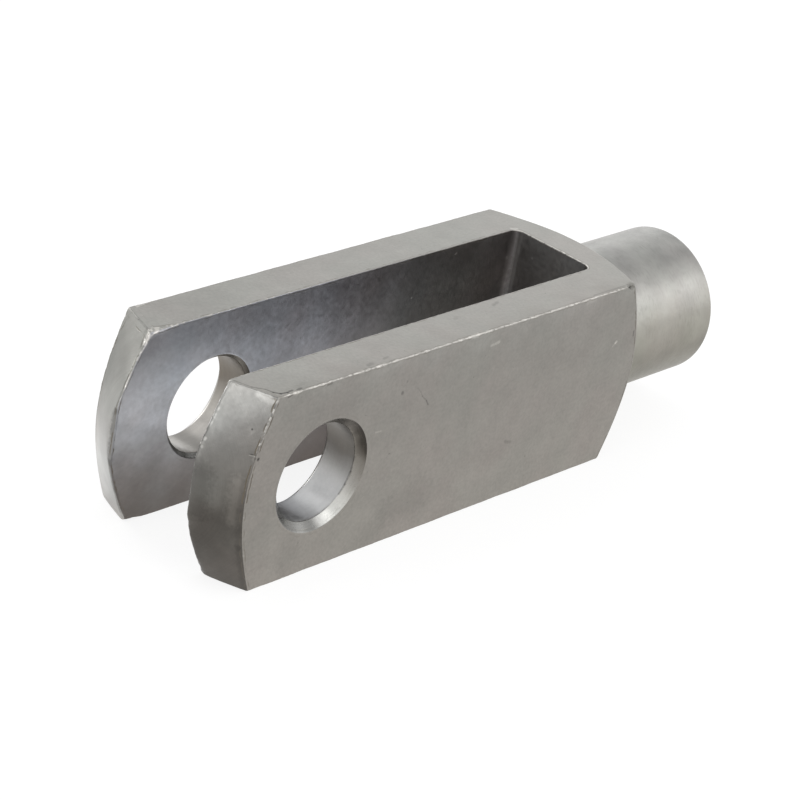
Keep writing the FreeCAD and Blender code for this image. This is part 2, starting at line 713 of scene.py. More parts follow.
class EdgePlaces:
    """Where points of the sharp surface lie: how far inside each surface, and by which edge."""

    width = 0.5
    mouth_depth = 1.0
    crest_width = 0.3
    crest_start = 0.9

    def __init__(self, points: Array, outside: Array) -> None:
        """Works out the gaps from the surfaces, and the edges that each point is beside.

        Args:
            points: Points of the sharp surface.
            outside: Distance of each point outside each surface, one column each.
        """
        gaps = np.maximum(0.0, -outside)
        self.x, y, self.z = points.T
        self.side_gap, self.level_gap, self.front_gap = gaps.T[:3]
        shoulder_gap, self.slot_gap, bore_gap = gaps.T[3:]
        self.side = np.sign(y)
        self.far = self.side > 0
        self.in_front = ramp(self.x, start=20.0, stop=10.0)
        self.by_front = self.front_gap < self.width
        self.by_flank = self.by_front & (self.side_gap < self.width)
        self.by_slot = self.slot_gap < self.width
        self.by_mouth = self.by_slot & (self.front_gap < self.mouth_depth)
        self.by_shoulder = shoulder_gap < self.width
        self.by_bore = bore_gap < self.width
        at_level = self.level_gap < self.width
        behind = self.front_gap > self.mouth_depth
        self.on_long_edge = at_level & (self.side_gap < self.width) & behind
        self.beneath = at_level & (self.z < 0.0)
        self.on_crest = (self.level_gap < self.crest_width) & (self.slot_gap > self.crest_start)


@dataclass
class ForkHead:
    """The whole head, made from the surfaces of its machining steps."""

    half_bar: float = 10.0
    step: float = 0.2
    front_spacing: float = 0.5
    shoulder_spacing: float = 0.55
    flat_spacing: float = 1.3
    front: TurnedFront = field(default_factory=TurnedFront)
    neck: TurnedNeck = field(default_factory=TurnedNeck)
    slot: LugSlot = field(default_factory=LugSlot)
    bore: PinBore = field(default_factory=PinBore)
    thread: RodThread = field(default_factory=RodThread)
    breaks: EdgeBreaks = field(default_factory=EdgeBreaks)
    dents: tuple[Dent, ...] = (
        Dent((-9.35, -9.75, 4.55), (-8.95, -10.0, 4.2), 0.22, 0.1),
        Dent((-9.15, -8.87, 6.73), (-9.15, -8.87, 6.72), 0.16, 0.08),
        Dent((-8.85, -10.0, 5.45), (-8.75, -10.0, 5.2), 0.18, 0.05),
        Dent((-9.75, -10.0, 0.4), (-9.8, -10.0, -0.3), 0.2, 0.05),
        Dent((42.0, -10.0, 10.0), (42.3, -9.9, 9.8), 0.55, 0.3),
        Dent((-9.2, 5.125, 9.1), (-9.0, 5.125, 9.2), 0.2, 0.05),
    )

    def surface(self) -> SurfaceMesh:
        """Sharp surface of the head, cut finely beside each edge."""
        mesh = SurfaceMesh()
        for side in (-1.0, 1.0):
            self.add_cheek_face(mesh, side)
            self.add_front_face(mesh, side)
            self.add_pin_bore(mesh, side)
            self.add_level_face(mesh, side)
        self.add_slot(mesh)
        self.add_shoulder(mesh)
        self.add_neck(mesh)
        self.add_thread(mesh)
        return mesh

    def front_border(self, start: float, stop: float) -> Border:
        """Front edge of a bar face between two places across it."""
        across = spaced(start, stop, self.step)
        x = self.front.place(np.hypot(self.half_bar, across))
        return Border(columns(x, across), self.breaks.front_edge.rows)

    def long_border(self, across: float, forwards: bool) -> Border:
        """Long edge of a bar face, at a place across it."""
        corner = np.float64(math.hypot(self.half_bar, self.half_bar))
        start = float(self.front.place(corner))
        stop = float(self.neck.place(corner))
        run = columns(spaced(start, stop, self.step), across)
        return Border(run if forwards else run[::-1], self.breaks.long_edge.rows)

    def back_borders(self) -> list[Border]:
        """Shoulder edge of a bar face, between its two long edges."""
        half = self.half_bar
        across = spaced(half, -half, self.step)
        shoulder = columns(self.neck.place(np.hypot(half, across)), across)
        return [
            self.long_border(half, True),
            Border(shoulder, self.breaks.shoulder_edge.rows),
            self.long_border(-half, False),
        ]

    def slot_runs(self) -> Array:
        """Runs along the slot's outline at a bar face, from the near tip to the far one."""
        slot = self.slot
        tip = float(self.front.place(np.hypot(slot.half_width, self.half_bar)))
        tip_run = float(slot.run_at(np.float64(tip)))
        wall = spaced(slot.wall_run, tip_run, self.step)
        floor = spaced(-slot.flat_run, slot.flat_run, self.step)
        far = np.concatenate([slot.corner_runs()[1:], wall[1:]])
        return np.concatenate([-far[::-1], floor, far])

    def dent_points(self, axis: int, value: float) -> Array:
        """Points round each dent that lies on a flat face, for a finer mesh there.

        Args:
            axis: Axis across the face.
            value: Place of the face along that axis.

        Returns:
            Points in the two other axes.
        """
        ring_shares = (0.35, 0.7, 1.05)
        points_round = 8
        others = [index for index in range(3) if index != axis]
        rows = [np.empty((0, 2))]
        for dent in self.dents:
            start = np.array(dent.start)
            end = np.array(dent.end)
            if abs(start[axis] - value) > dent.radius:
                continue
            length = max(float(np.linalg.norm(end - start)), 1e-6)
            for share in spaced(0.0, 1.0, dent.radius / length):
                middle = (start + (end - start) * share)[others]
                for ring in ring_shares:
                    rows.append(circle(ring * dent.radius, points_round)[:-1] + middle)
                rows.append(middle[None, :])
        return np.vstack(rows)

    def add_cheek_face(self, mesh: SurfaceMesh, side: float) -> None:
        """Adds the outer face of one cheek, with the rim of the pin bore."""
        half = self.half_bar
        rim = circle(self.bore.radius + self.bore.outer_chamfer, self.bore.points_round)
        outline = [self.front_border(-half, half), *self.back_borders()]
        hole = [Border(rim, self.breaks.bore_edge.rows)]

        def lift(flat: Array) -> Array:
            """Carries X and Z onto the cheek."""
            return columns(flat[:, 0], side * half, flat[:, 1])

        dented = self.dent_points(1, side * half)
        mesh.add_face([outline, hole], lift, Region.BAR_FACE, self.flat_spacing, dented)

    def add_level_face(self, mesh: SurfaceMesh, side: float) -> None:
        """Adds the top or the bottom face, which the slot cuts to a fork."""
        half = self.half_bar
        inner = self.slot.half_width
        outline = [
            self.front_border(inner, half),
            *self.back_borders(),
            self.front_border(-half, -inner),
            Border(self.slot.plan(self.slot_runs()), self.breaks.slot_edge.rows),
        ]

        def lift(flat: Array) -> Array:
            """Carries X and Y onto the face."""
            return columns(*flat.T, side * half)

        dented = self.dent_points(2, side * half)
        mesh.add_face([outline], lift, Region.BAR_FACE, self.flat_spacing, dented)

    def add_front_face(self, mesh: SurfaceMesh, side: float) -> None:
        """Adds the turned front of one cheek, creased where its flat meets the cone."""
        half = self.half_bar
        inner = self.slot.half_width
        rows = self.breaks.front_edge.rows
        tall = spaced(-half, half, self.step)
        wide = spaced(inner, half, self.step) * side
        outline = [
            Border(columns(inner * side, tall), self.breaks.mouth_edge.rows),
            Border(columns(wide, half), rows),
            Border(columns(half * side, tall[::-1]), rows),
            Border(columns(wide[::-1], -half), rows),
        ]
        lines = []
        points_round = 400
        for gap in (-0.12, -0.05, 0.0, 0.05, 0.12):
            ring = circle(self.front.flat_radius + gap, points_round)
            ring = ring[ring[:, 0] * side > 0]
            lines.append(ring[np.argsort(ring[:, 1])])

        def lift(flat: Array) -> Array:
            """Carries Y and Z onto the turned end."""
            return columns(self.front.place(np.hypot(*flat.T)), *flat.T)

        mesh.add_face([outline], lift, Region.TURNED_FRONT, self.front_spacing, lines=lines)

    def slot_holes(self) -> list[Array]:
        """Loops of the near and the far pin hole and of the tapped bore, on the unrolled slot."""
        slot = self.slot
        rim = circle(self.bore.radius + self.bore.inner_chamfer, self.bore.points_round)
        pin_run = float(slot.run_at(np.float64(0.0)))
        leaving = self.thread.exit_curve(slot)
        along = np.abs(leaving[:, 1])
        turn = np.arcsin(np.clip(along - slot.flat_run, 0.0, 1.0))
        run = np.minimum(along, slot.flat_run) + turn
        tapped = columns(np.copysign(run, leaving[:, 1]), leaving[:, 2])
        near, far = (rim * (-side, 1.0) + (side * pin_run, 0.0) for side in (-1.0, 1.0))
        return [near, far, np.vstack([tapped, tapped[:1]])]

    def add_slot(self, mesh: SurfaceMesh) -> None:
        """Adds the two walls, the corners and the bottom of the slot as one unrolled face."""
        half = self.half_bar
        slot = self.slot
        breaks = self.breaks
        tall = spaced(-half, half, self.step)
        tip_runs = slot.run_at(self.front.place(np.hypot(slot.half_width, tall)))
        floor = columns(self.slot_runs(), -half)
        outline = [
            Border(floor, breaks.slot_edge.rows),
            Border(columns(tip_runs, tall), breaks.mouth_edge.rows),
            Border(floor[::-1] * (1.0, -1.0), breaks.slot_edge.rows),
            Border(columns(-tip_runs, tall)[::-1], breaks.mouth_edge.rows),
        ]
        kinds = (breaks.bore_edge, breaks.bore_edge, breaks.root_edge)
        holes = self.slot_holes()
        loops = [outline] + [[Border(hole, kind.rows)] for hole, kind in zip(holes, kinds)]
        end_gap = 0.8
        corner_step = 0.35
        thread_gap = 0.1
        heights = spaced(-half + end_gap, half - end_gap, corner_step)
        grid = np.array([(run, z) for run in slot.corner_runs() for z in heights])
        extra = np.vstack([grid, grid * (-1.0, 1.0)])
        away = Outline.of([holes[-1][:-1]]).distance(extra) > thread_gap

        def lift(flat: Array) -> Array:
            """Carries a run and Z onto the slot."""
            return columns(*slot.plan(flat[:, 0]).T, flat[:, 1])

        mesh.add_face(loops, lift, Region.SLOT, self.flat_spacing, extra[away])

    def add_shoulder(self, mesh: SurfaceMesh) -> None:
        """Adds the shoulder cone between the bar faces and the neck."""
        half = self.half_bar
        across = spaced(-half, half, self.step)
        sides = [
            columns(across, -half),
            columns(half, across),
            columns(across[::-1], half),
            columns(-half, across[::-1]),
        ]
        outline = [Border(side, self.breaks.shoulder_edge.rows) for side in sides]
        root = circle(self.neck.root()[1], self.thread.points_round)
        hole = [Border(root, self.breaks.root_edge.rows)]

        def lift(flat: Array) -> Array:
            """Carries Y and Z onto the cone."""
            return columns(self.neck.place(np.hypot(*flat.T)), *flat.T)

        mesh.add_face([outline, hole], lift, Region.TURNED_NECK, self.shoulder_spacing)

    def add_neck(self, mesh: SurfaceMesh) -> None:
        """Adds the neck from its root to the rim of the tapped bore."""
        neck = self.neck
        foot = neck.foot
        turned = [
            (foot, neck.radius),
            (neck.reach - neck.end_chamfer, neck.radius),
            (neck.reach, neck.radius - neck.end_chamfer),
            (neck.reach, self.thread.rim_radius),
        ]
        near = (0.03, 0.07, 0.13)
        longest = 0.6
        arc_points = 8
        swing = math.radians(90.0 - neck.cone_angle)
        angles = np.linspace(swing, 0.0, arc_points)[1:-1]
        across = neck.root_radius * np.cos(angles)
        x = foot - neck.root_radius * np.sin(angles)
        arc = columns(x, neck.radius + neck.root_radius - across)
        profile = np.vstack([neck.root(), arc, refined(turned, near, longest)])
        ring = circle(1.0, self.thread.points_round)[:-1]
        rings = [columns(x, *(ring * radius).T) for x, radius in profile]
        mesh.add_rings(np.array(rings), Region.TURNED_NECK)

    def add_pin_bore(self, mesh: SurfaceMesh, side: float) -> None:
        """Adds the bore of one cheek and its two chamfers."""
        ring = circle(1.0, self.bore.points_round)[:-1]
        corners = self.bore.profile()
        near = (0.02, 0.05, 0.1, 0.2)
        spans = [
            (corners[0:2], Region.PIN_CHAMFER, 0.25),
            (corners[1:3], Region.PIN_BORE, 0.5),
            (corners[2:4], Region.PIN_CHAMFER, 0.2),
        ]
        for span, region, longest in spans:
            rings = []
            for place, radius in refined(span, near, longest):
                across, upward = (ring * radius).T
                rings.append(columns(across, side * place, upward))
            mesh.add_rings(np.array(rings), region)

    def add_thread(self, mesh: SurfaceMesh) -> None:
        """Adds the tapped wall of the rod bore."""
        rings = self.thread.rings(self.slot)
        shear = len(self.thread.stations())
        mesh.add_rings(rings, Region.THREAD, shear, fixed=True)

    def parts_outside(self, points: Array) -> Array:
        """Distance of each point outside each machined surface, sharp, one column each."""
        x, y, z = points.T
        from_rod = np.hypot(y, z)
        return columns(
            np.abs(y) - self.half_bar,
            np.abs(z) - self.half_bar,
            self.front.outside(x, from_rod),
            self.neck.outside(x, from_rod),
            self.slot.outside(x, y),
            self.bore.outside(y, np.hypot(x, z)),
        )

    def outside(self, points: Array, wear: Wear) -> Array:
        """Distance of each point outside the finished head."""
        side, level, front, neck, slot, bore = self.parts_outside(points).T
        solid = round_max(side, level, wear.long_edge)
        solid = round_max(solid, front, wear.front_edge)
        solid = round_max(solid, neck, wear.shoulder_edge)
        solid = round_max(solid, slot, wear.slot_edge)
        solid = round_max(solid, bore, wear.bore_edge)
        return solid - wear.raised

    def slope_of(self, points: Array, wear: Wear) -> Array:
        """Direction in which the distance outside the head grows fastest."""
        reach = 0.002
        slopes = []
        for axis in range(3):
            shift = np.zeros(3)
            shift[axis] = reach
            ahead = self.outside(points + shift, wear)
            behind = self.outside(points - shift, wear)
            slopes.append((ahead - behind) / (2 * reach))
        return np.column_stack(slopes)

    def corner_growth(self, at: EdgePlaces) -> Array:
        """How much larger the slot's edges are broken at the inner corners of the mouth."""
        breaks = self.breaks
        from_corner = (at.front_gap + at.level_gap) / breaks.corner_spread
        near_low = (at.side < 0) & (at.z < 0)
        near_corner = np.exp(-breaks.near_corner_falloff * from_corner)
        corner = np.where(near_low, near_corner, np.exp(-(from_corner**2)))
        dressed = np.where(near_low, breaks.near_corner_share, np.where(at.far, 1.0, -1.0))
        return (breaks.corner_growth + breaks.corner_lean * dressed) * corner * at.in_front

    def slot_radius(self, at: EdgePlaces) -> Array:
        """Radius of the slot's broken edges."""
        breaks = self.breaks
        softness = 0.2
        past_level = at.level_gap + softness
        at_mouth = past_level / (at.front_gap + at.level_gap + 2 * softness) * at.in_front
        mouth = breaks.mouth_edge.radius - breaks.side_lean * at.side
        along_slot = breaks.slot_edge.radius * (1 - at_mouth)
        return along_slot + mouth * at_mouth + self.corner_growth(at)

    def front_radius(self, at: EdgePlaces) -> Array:
        """Radius of the broken edges round the turned front."""
        breaks = self.breaks
        crest = np.exp(-(at.slot_gap**2)) * at.in_front
        radius = breaks.front_edge.radius + breaks.crest_growth * crest
        return np.where(at.far, breaks.far_front_share * radius, radius)

    def by_kind(self, at: EdgePlaces, values: Callable[[EdgeBreak], float]) -> Array:
        """One value of the edge that each point is beside.

        Args:
            at: Where the points lie.
            values: Picks the value from an edge's sizes.

        Returns:
            The values, which are those of the long edges where no other edge is near.
        """
        breaks = self.breaks
        kinds = [
            (at.by_front, breaks.front_edge),
            (at.by_flank, breaks.flank_edge),
            (at.by_slot, breaks.slot_edge),
            (at.by_mouth, breaks.mouth_edge),
            (at.by_shoulder, breaks.shoulder_edge),
            (at.by_bore, breaks.bore_edge),
        ]
        found = np.full(len(at.x), values(breaks.long_edge))
        for chosen, edge in kinds:
            found = np.where(chosen, values(edge), found)
        return found

    def lips(self, at: EdgePlaces) -> Array:
        """Height of the metal raised at each edge, lower on the far side and underneath."""
        far_flank_share = 0.3
        far_edge_share = 0.2
        lip = self.by_kind(at, lambda edge: edge.lip)
        lip = np.where(at.by_flank & at.far, far_flank_share * lip, lip)
        lip = lip * ramp(at.z, start=-2.0, stop=2.0, least=0.2)
        return np.where(at.on_long_edge & at.far, far_edge_share * lip, lip)

    def burrs(self, at: EdgePlaces) -> Array:
        """How much of each edge shines."""
        near_mouth_share = 0.5
        low_mouth_loss = 0.95
        beneath_share = 0.4
        burr = self.by_kind(at, lambda edge: edge.burr)
        slot_end = self.slot.reach - self.slot.corner_radius
        above_middle = ramp(at.z, start=2.0, stop=6.5, least=0.18)
        near_tip = ramp(at.x, start=14.0, stop=2.0, least=0.08)
        before_shoulder = ramp(at.x, start=44.0, stop=38.0, least=0.45)
        low_mouth = 1.0 - low_mouth_loss * self.low_share(at)
        behind_mouth = at.by_slot & (at.front_gap > at.mouth_depth)
        burr = np.where(at.by_flank & (at.level_gap > at.width), burr * above_middle, burr)
        burr = np.where(behind_mouth, burr * near_tip, burr)
        burr = np.where(at.by_slot & (at.x > slot_end), 1.0, burr)
        burr = np.where(at.by_front & at.far & at.on_crest, 0.0, burr)
        burr = np.where(at.by_mouth & ~at.far, near_mouth_share * burr, burr)
        burr = np.where(at.by_mouth & at.far, burr * low_mouth, burr)
        burr = np.where(at.beneath, beneath_share * burr, burr)
        return np.where(at.on_long_edge, burr * before_shoulder, burr)

    def shade_lines(self, at: EdgePlaces) -> Array:
        """How dark the painted shadow line beside each edge is."""
        low_flank_share = 0.35
        crest_share = 0.3
        faint = 0.1
        low_mouth_gain = 0.8
        beneath_share = 0.4
        shade_line = self.by_kind(at, lambda edge: edge.shade_line)
        crest_shoulder = at.by_shoulder & at.on_crest & (at.side_gap > at.crest_width)
        low_mouth = 1.0 + low_mouth_gain * self.low_share(at)
        shade_line = np.where(at.by_flank & (at.z < 0.0), low_flank_share * shade_line, shade_line)
        shade_line = np.where(at.by_front & at.on_crest, crest_share * shade_line, shade_line)
        shade_line = np.where(at.by_front & at.far & at.on_crest, 0.0, shade_line)
        shade_line = np.where(crest_shoulder | (at.by_mouth & ~at.far), faint, shade_line)
        shade_line = np.where(at.by_mouth & at.far, shade_line * low_mouth, shade_line)
        return np.where(at.beneath, beneath_share * shade_line, shade_line)

    @staticmethod
    def low_share(at: EdgePlaces) -> Array:
        """Share from 0 near the top of the cheeks to 1 at their middle and below."""
        return ramp(at.z, start=5.0, stop=2.5)

    def wear_of(self, points: Array) -> Wear:
        """Edge breaks, lips and dents at each point of the sharp surface."""
        breaks = self.breaks
        outside = self.parts_outside(points)
        at = EdgePlaces(points, outside)
        to_edge = np.maximum(0.0, -np.sort(outside, axis=1)[:, -2])
        coarse = field_noise(points, size=2.3, seed=3.0)
        fine = field_noise(points, size=0.55, seed=11.0)
        hair = field_noise(points, size=0.22, seed=23.0)
        coarse_share = 1.1
        fine_share = 0.9
        wander = 1.0 + breaks.wander * (coarse * coarse_share + fine * fine_share)
        on_edge = np.exp(-((to_edge / breaks.lip_width) ** 2))
        middle = 0.25
        fine_height = 1.6
        hair_height = 1.3
        lowest = -0.6
        highest = 1.6
        ragged = np.clip(middle + fine_height * fine + hair_height * hair, lowest, highest)
        raised = self.lips(at) * on_edge * ragged
        for dent in self.dents:
            raised = raised - dent.depth_at(points)
        far_growth = np.where(at.far, self.corner_growth(at), 0.0)
        return Wear(
            long_edge=breaks.long_edge.radius * wander,
            front_edge=self.front_radius(at) * wander,
            shoulder_edge=breaks.shoulder_edge.radius * wander,
            slot_edge=self.slot_radius(at) * wander,
            bore_edge=breaks.bore_edge.radius * wander,
            raised=raised,
            to_edge=to_edge - breaks.corner_shift * far_growth,
            burr=self.burrs(at),
            shade_line=self.shade_lines(at),
        )

    def broken(self, points: Array, fixed: Array, wear: Wear) -> Array:
        """Points moved from the sharp surface onto the finished one.

        Args:
            points: Points on the sharp surface.
            fixed: Points that stay where they are.
            wear: Edge breaks at those points.

        Returns:
            The moved points.
        """
        rounds = 6
        longest_move = 0.4
        least_steepness = 0.2
        moved = points.copy()
        for _ in range(rounds):
            slope = self.slope_of(moved, wear)
            steepness = np.maximum((slope**2).sum(1), least_steepness)
            move = (self.outside(moved, wear) / steepness)[:, None] * slope
            length = np.linalg.norm(move, axis=1)[:, None]
            move *= np.minimum(1.0, longest_move / np.maximum(length, 1e-9))
            moved = np.where(fixed[:, None], moved, moved - move)
        return moved

    def at_thread(self, sharp: Array) -> Array:
        """Whether each point is where the thread breaks out at either end."""
        x = sharp[:, 0]
        from_rod = np.hypot(sharp[:, 1], sharp[:, 2])
        clear = 1e-6
        past_slot = 0.1
        past_root = 0.05
        slot_end = self.slot.reach
        by_slot = (x > slot_end - self.thread.pitch) & (x < slot_end + past_slot)
        in_thread = from_rod < self.thread.diameter / 2 + past_root
        at_end = np.abs(x - self.neck.reach) < clear
        return (by_slot & in_thread) | (at_end & (from_rod < self.thread.rim_radius + clear))

    def build(self, name: str, materials: list[bpy.types.Material]) -> bpy.types.Object:
        """Makes the object.

        Args:
            name: Name of the object.
            materials: One material for each region, in the order of Region.

        Returns:
            The finished head in the scene.
        """
        surface = self.surface()
        sharp = np.vstack(surface.points)
        fixed = np.concatenate(surface.fixed) | self.at_thread(sharp)
        wear = self.wear_of(sharp)
        low = (-self.front.reach, -self.half_bar, -self.half_bar)
        high = (self.neck.reach, self.half_bar, self.half_bar)
        points = np.clip(self.broken(sharp, fixed, wear), low, high)
        mesh = bpy.data.meshes.new(name)
        mesh.from_pydata((points * MILLIMETRE).tolist(), [], surface.faces)
        mesh.polygons.foreach_set("material_index", np.array(surface.regions, np.int32))
        # Attributes for the material: gap to the nearest edge, how much it shines, and how dark
        # its painted shadow line is.
        shown = {"edge_gap": wear.to_edge, "edge_burr": wear.burr, "edge_shade_line": wear.shade_line}
        for label, values in shown.items():
            layer = mesh.attributes.new(label, "FLOAT", "POINT")
            layer.data.foreach_set("value", values.astype(np.float32))
        head = in_scene(name, mesh)
        for material in materials:
            mesh.materials.append(material)
        self.close(mesh)
        return head

    @staticmethod
    def close(mesh: bpy.types.Mesh) -> None:
        """Joins the faces along their shared edges and turns them all outwards."""
        same_place = 2e-6
        crest_angle = 0.45
        work = bmesh.new()
        work.from_mesh(mesh)
        bmesh.ops.remove_doubles(work, verts=work.verts, dist=same_place)
        bmesh.ops.recalc_face_normals(work, faces=work.faces)
        for face in work.faces:
            face.smooth = True
        thread = Region.THREAD.value
        for edge in work.edges:
            kinds = {face.material_index for face in edge.link_faces}
            if thread in kinds and (len(kinds) > 1 or edge.calc_face_angle(0.0) > crest_angle):
                edge.smooth = False
        open_edges = sum(1 for edge in work.edges if len(edge.link_faces) != 2)
        LOG.info("open or crowded edges: %d", open_edges)
        work.to_mesh(mesh)
        work.free()


class Graph:
    """Node tree of one material, with places on the head in millimetres."""

    def __init__(self, material: bpy.types.Material) -> None:
        """Sets up the places that everything else in the tree starts from."""
        material.use_nodes = True
        self.tree = material.node_tree
        self.shader = self.tree.nodes["Principled BSDF"]
        metres = self.tree.nodes.new("ShaderNodeTexCoord").outputs["Object"]
        self.place = self.vector("MULTIPLY", metres, (1000.0, 1000.0, 1000.0))
        axes = self.tree.nodes.new("ShaderNodeSeparateXYZ")
        self.feed(axes.inputs[0], self.place)
        self.x, self.y, self.z = axes.outputs

    def feed(self, socket: Socket, value: Value) -> None:
        """Links a socket to another one, or sets it."""
        if isinstance(value, Socket):
            self.tree.links.new(value, socket)
        else:
            socket.default_value = value

    def math(self, operation: str, first: Value, second: Value = 0.0) -> Socket:
        """Result of a sum with one or two numbers."""
        node = self.tree.nodes.new("ShaderNodeMath")
        node.operation = operation
        self.feed(node.inputs[0], first)
        self.feed(node.inputs[1], second)
        return node.outputs[0]

    def plus(self, *values: Value) -> Socket:
        """Sum of numbers."""
        return reduce(lambda total, value: self.math("ADD", total, value), values)

    def times(self, *values: Value) -> Socket:
        """Product of numbers."""
        return reduce(lambda total, value: self.math("MULTIPLY", total, value), values)

    def minus(self, first: Value, second: Value) -> Socket:
        """Difference of two numbers."""
        return self.math("SUBTRACT", first, second)

    def vector(self, operation: str, first: Value, second: Value) -> Socket:
        """Result of a sum with two vectors, or with a vector and a scale."""
        node = self.tree.nodes.new("ShaderNodeVectorMath")
        node.operation = operation
        self.feed(node.inputs[0], first)
        self.feed(node.inputs["Scale" if operation == "SCALE" else 1], second)
        single = operation in ("LENGTH", "DOT_PRODUCT", "DISTANCE")
        return node.outputs["Value" if single else "Vector"]

    def joined(self, x: Value, y: Value, z: Value) -> Socket:
        """Vector made of three numbers."""
        node = self.tree.nodes.new("ShaderNodeCombineXYZ")
        for socket, value in zip(node.inputs, (x, y, z)):
            self.feed(socket, value)
        return node.outputs[0]

    def length(self, x: Value, y: Value, z: Value) -> Socket:
        """Length of a vector made of three numbers."""
        return self.vector("LENGTH", self.joined(x, y, z), (0, 0, 0))

    def noise(self, place: Value, size: float, detail: float = 2.0) -> Socket:
        """Cloudy pattern around 0.5, with features of a given size in millimetres."""
        node = self.tree.nodes.new("ShaderNodeTexNoise")
        self.feed(node.inputs["Vector"], place)
        node.inputs["Scale"].default_value = 1.0 / size
        node.inputs["Detail"].default_value = detail
        return node.outputs[0]

    def cloud(self, size: float, detail: float = 2.0, shift: Optional[Triple] = None) -> Socket:
        """Cloudy pattern over the head, which a shift makes a pattern of its own."""
        place = self.vector("ADD", self.place, shift) if shift else self.place
        return self.noise(place, size, detail)

    def spread(self, value: Value, low: Value, high: Value, start: float, stop: float) -> Socket:
        """Carries the range from low to high over to start to stop, held at both ends."""
        node = self.tree.nodes.new("ShaderNodeMapRange")
        for socket, entry in zip(node.inputs, (value, low, high, start, stop)):
            self.feed(socket, entry)
        return node.outputs[0]

    def share(self, value: Value, low: Value, high: Value) -> Socket:
        """Share from 0 to 1 of the way from low to high."""
        return self.spread(value, low, high, 0.0, 1.0)

    def mix(self, share: Value, first: Value, second: Value) -> Socket:
        """Blend of two colours."""
        node = self.tree.nodes.new("ShaderNodeMix")
        node.data_type = "RGBA"
        self.feed(node.inputs[0], share)
        self.feed(node.inputs[6], first)
        self.feed(node.inputs[7], second)
        return node.outputs[2]

    def attribute(self, name: str) -> Socket:
        """Number that the mesh carries at each point."""
        node = self.tree.nodes.new("ShaderNodeAttribute")
        node.attribute_name = name
        return node.outputs["Fac"]


@dataclass(frozen=True)
class Mark:
    """A spot or streak of darker or lighter colour, from start to end, in millimetres.
    Some are nicks, specks and blotches; many are painted highlights and painted shade.
    """

    start: Triple
    end: Triple
    radius: float
    tone: float

    def share(self, graph: Graph) -> Socket:
        """How far each place is covered, from 0 to 1."""
        core = 0.35
        along = Vector(self.end) - Vector(self.start)
        length_squared = max(along.length_squared, 1e-6)
        offset = graph.vector("SUBTRACT", graph.place, self.start)
        run = graph.vector("DOT_PRODUCT", offset, tuple(along / length_squared))
        nearest = graph.vector("SCALE", tuple(along), graph.share(run, 0.0, 1.0))
        gap = graph.vector("DISTANCE", offset, nearest)
        ragged = graph.times(graph.cloud(0.35), self.radius)
        edge = graph.plus(gap, graph.minus(ragged, self.radius / 2))
        return graph.spread(edge, core * self.radius, self.radius, 1.0, 0.0)


@dataclass(frozen=True)
class PaintedGradient:
    """Painted light and shade: a soft change of colour along one direction, as factors on the
    steel's colour.

    Each stop is a place along that direction, in millimetres, with one factor for grey or
    three for red, green and blue.
    """

    along: Triple
    stops: tuple[tuple[float, ...], ...]
    far_only: bool = False

    def factor(self, graph: Graph) -> Socket:
        """Factor on the colour at each place."""
        cloud_size = 3.0
        cloud_reach = 0.12
        wall = (4.2, 5.0)
        unchanged = (1.0, 1.0, 1.0)
        places = [stop[0] for stop in self.stops]
        colours = [stop[1:] if len(stop) > 2 else stop[1:] * 3 for stop in self.stops]
        low = places[0]
        length = places[-1] - low
        brightest = max(max(colour) for colour in colours)
        node = graph.tree.nodes.new("ShaderNodeValToRGB")
        node.color_ramp.interpolation = "B_SPLINE" if len(places) > 2 else "LINEAR"
        points = node.color_ramp.elements
        while len(points) < len(places):
            points.new(0.5)
        for point, place, colour in zip(points, places, colours):
            point.position = (place - low) / length
            point.color = (*(value / brightest for value in colour), 1.0)
        run = graph.vector("DOT_PRODUCT", graph.place, self.along)
        cloud = graph.minus(graph.cloud(cloud_size), 0.5)
        run = graph.plus(run, graph.times(cloud, cloud_reach * length))
        graph.feed(node.inputs[0], graph.share(run, low, places[-1]))
        factor = graph.vector("SCALE", node.outputs[0], brightest)
        if not self.far_only:
            return factor
        extra = graph.vector("SUBTRACT", factor, unchanged)
        beyond = graph.share(graph.y, *wall)
        return graph.vector("ADD", graph.vector("SCALE", extra, beyond), unchanged)


def painted_gradient(along: Triple, *stops: tuple[float, ...], far_only: bool = False) -> PaintedGradient:
    """Painted light and shade along a direction, with its stops given one after the other."""
    return PaintedGradient(along, stops, far_only)


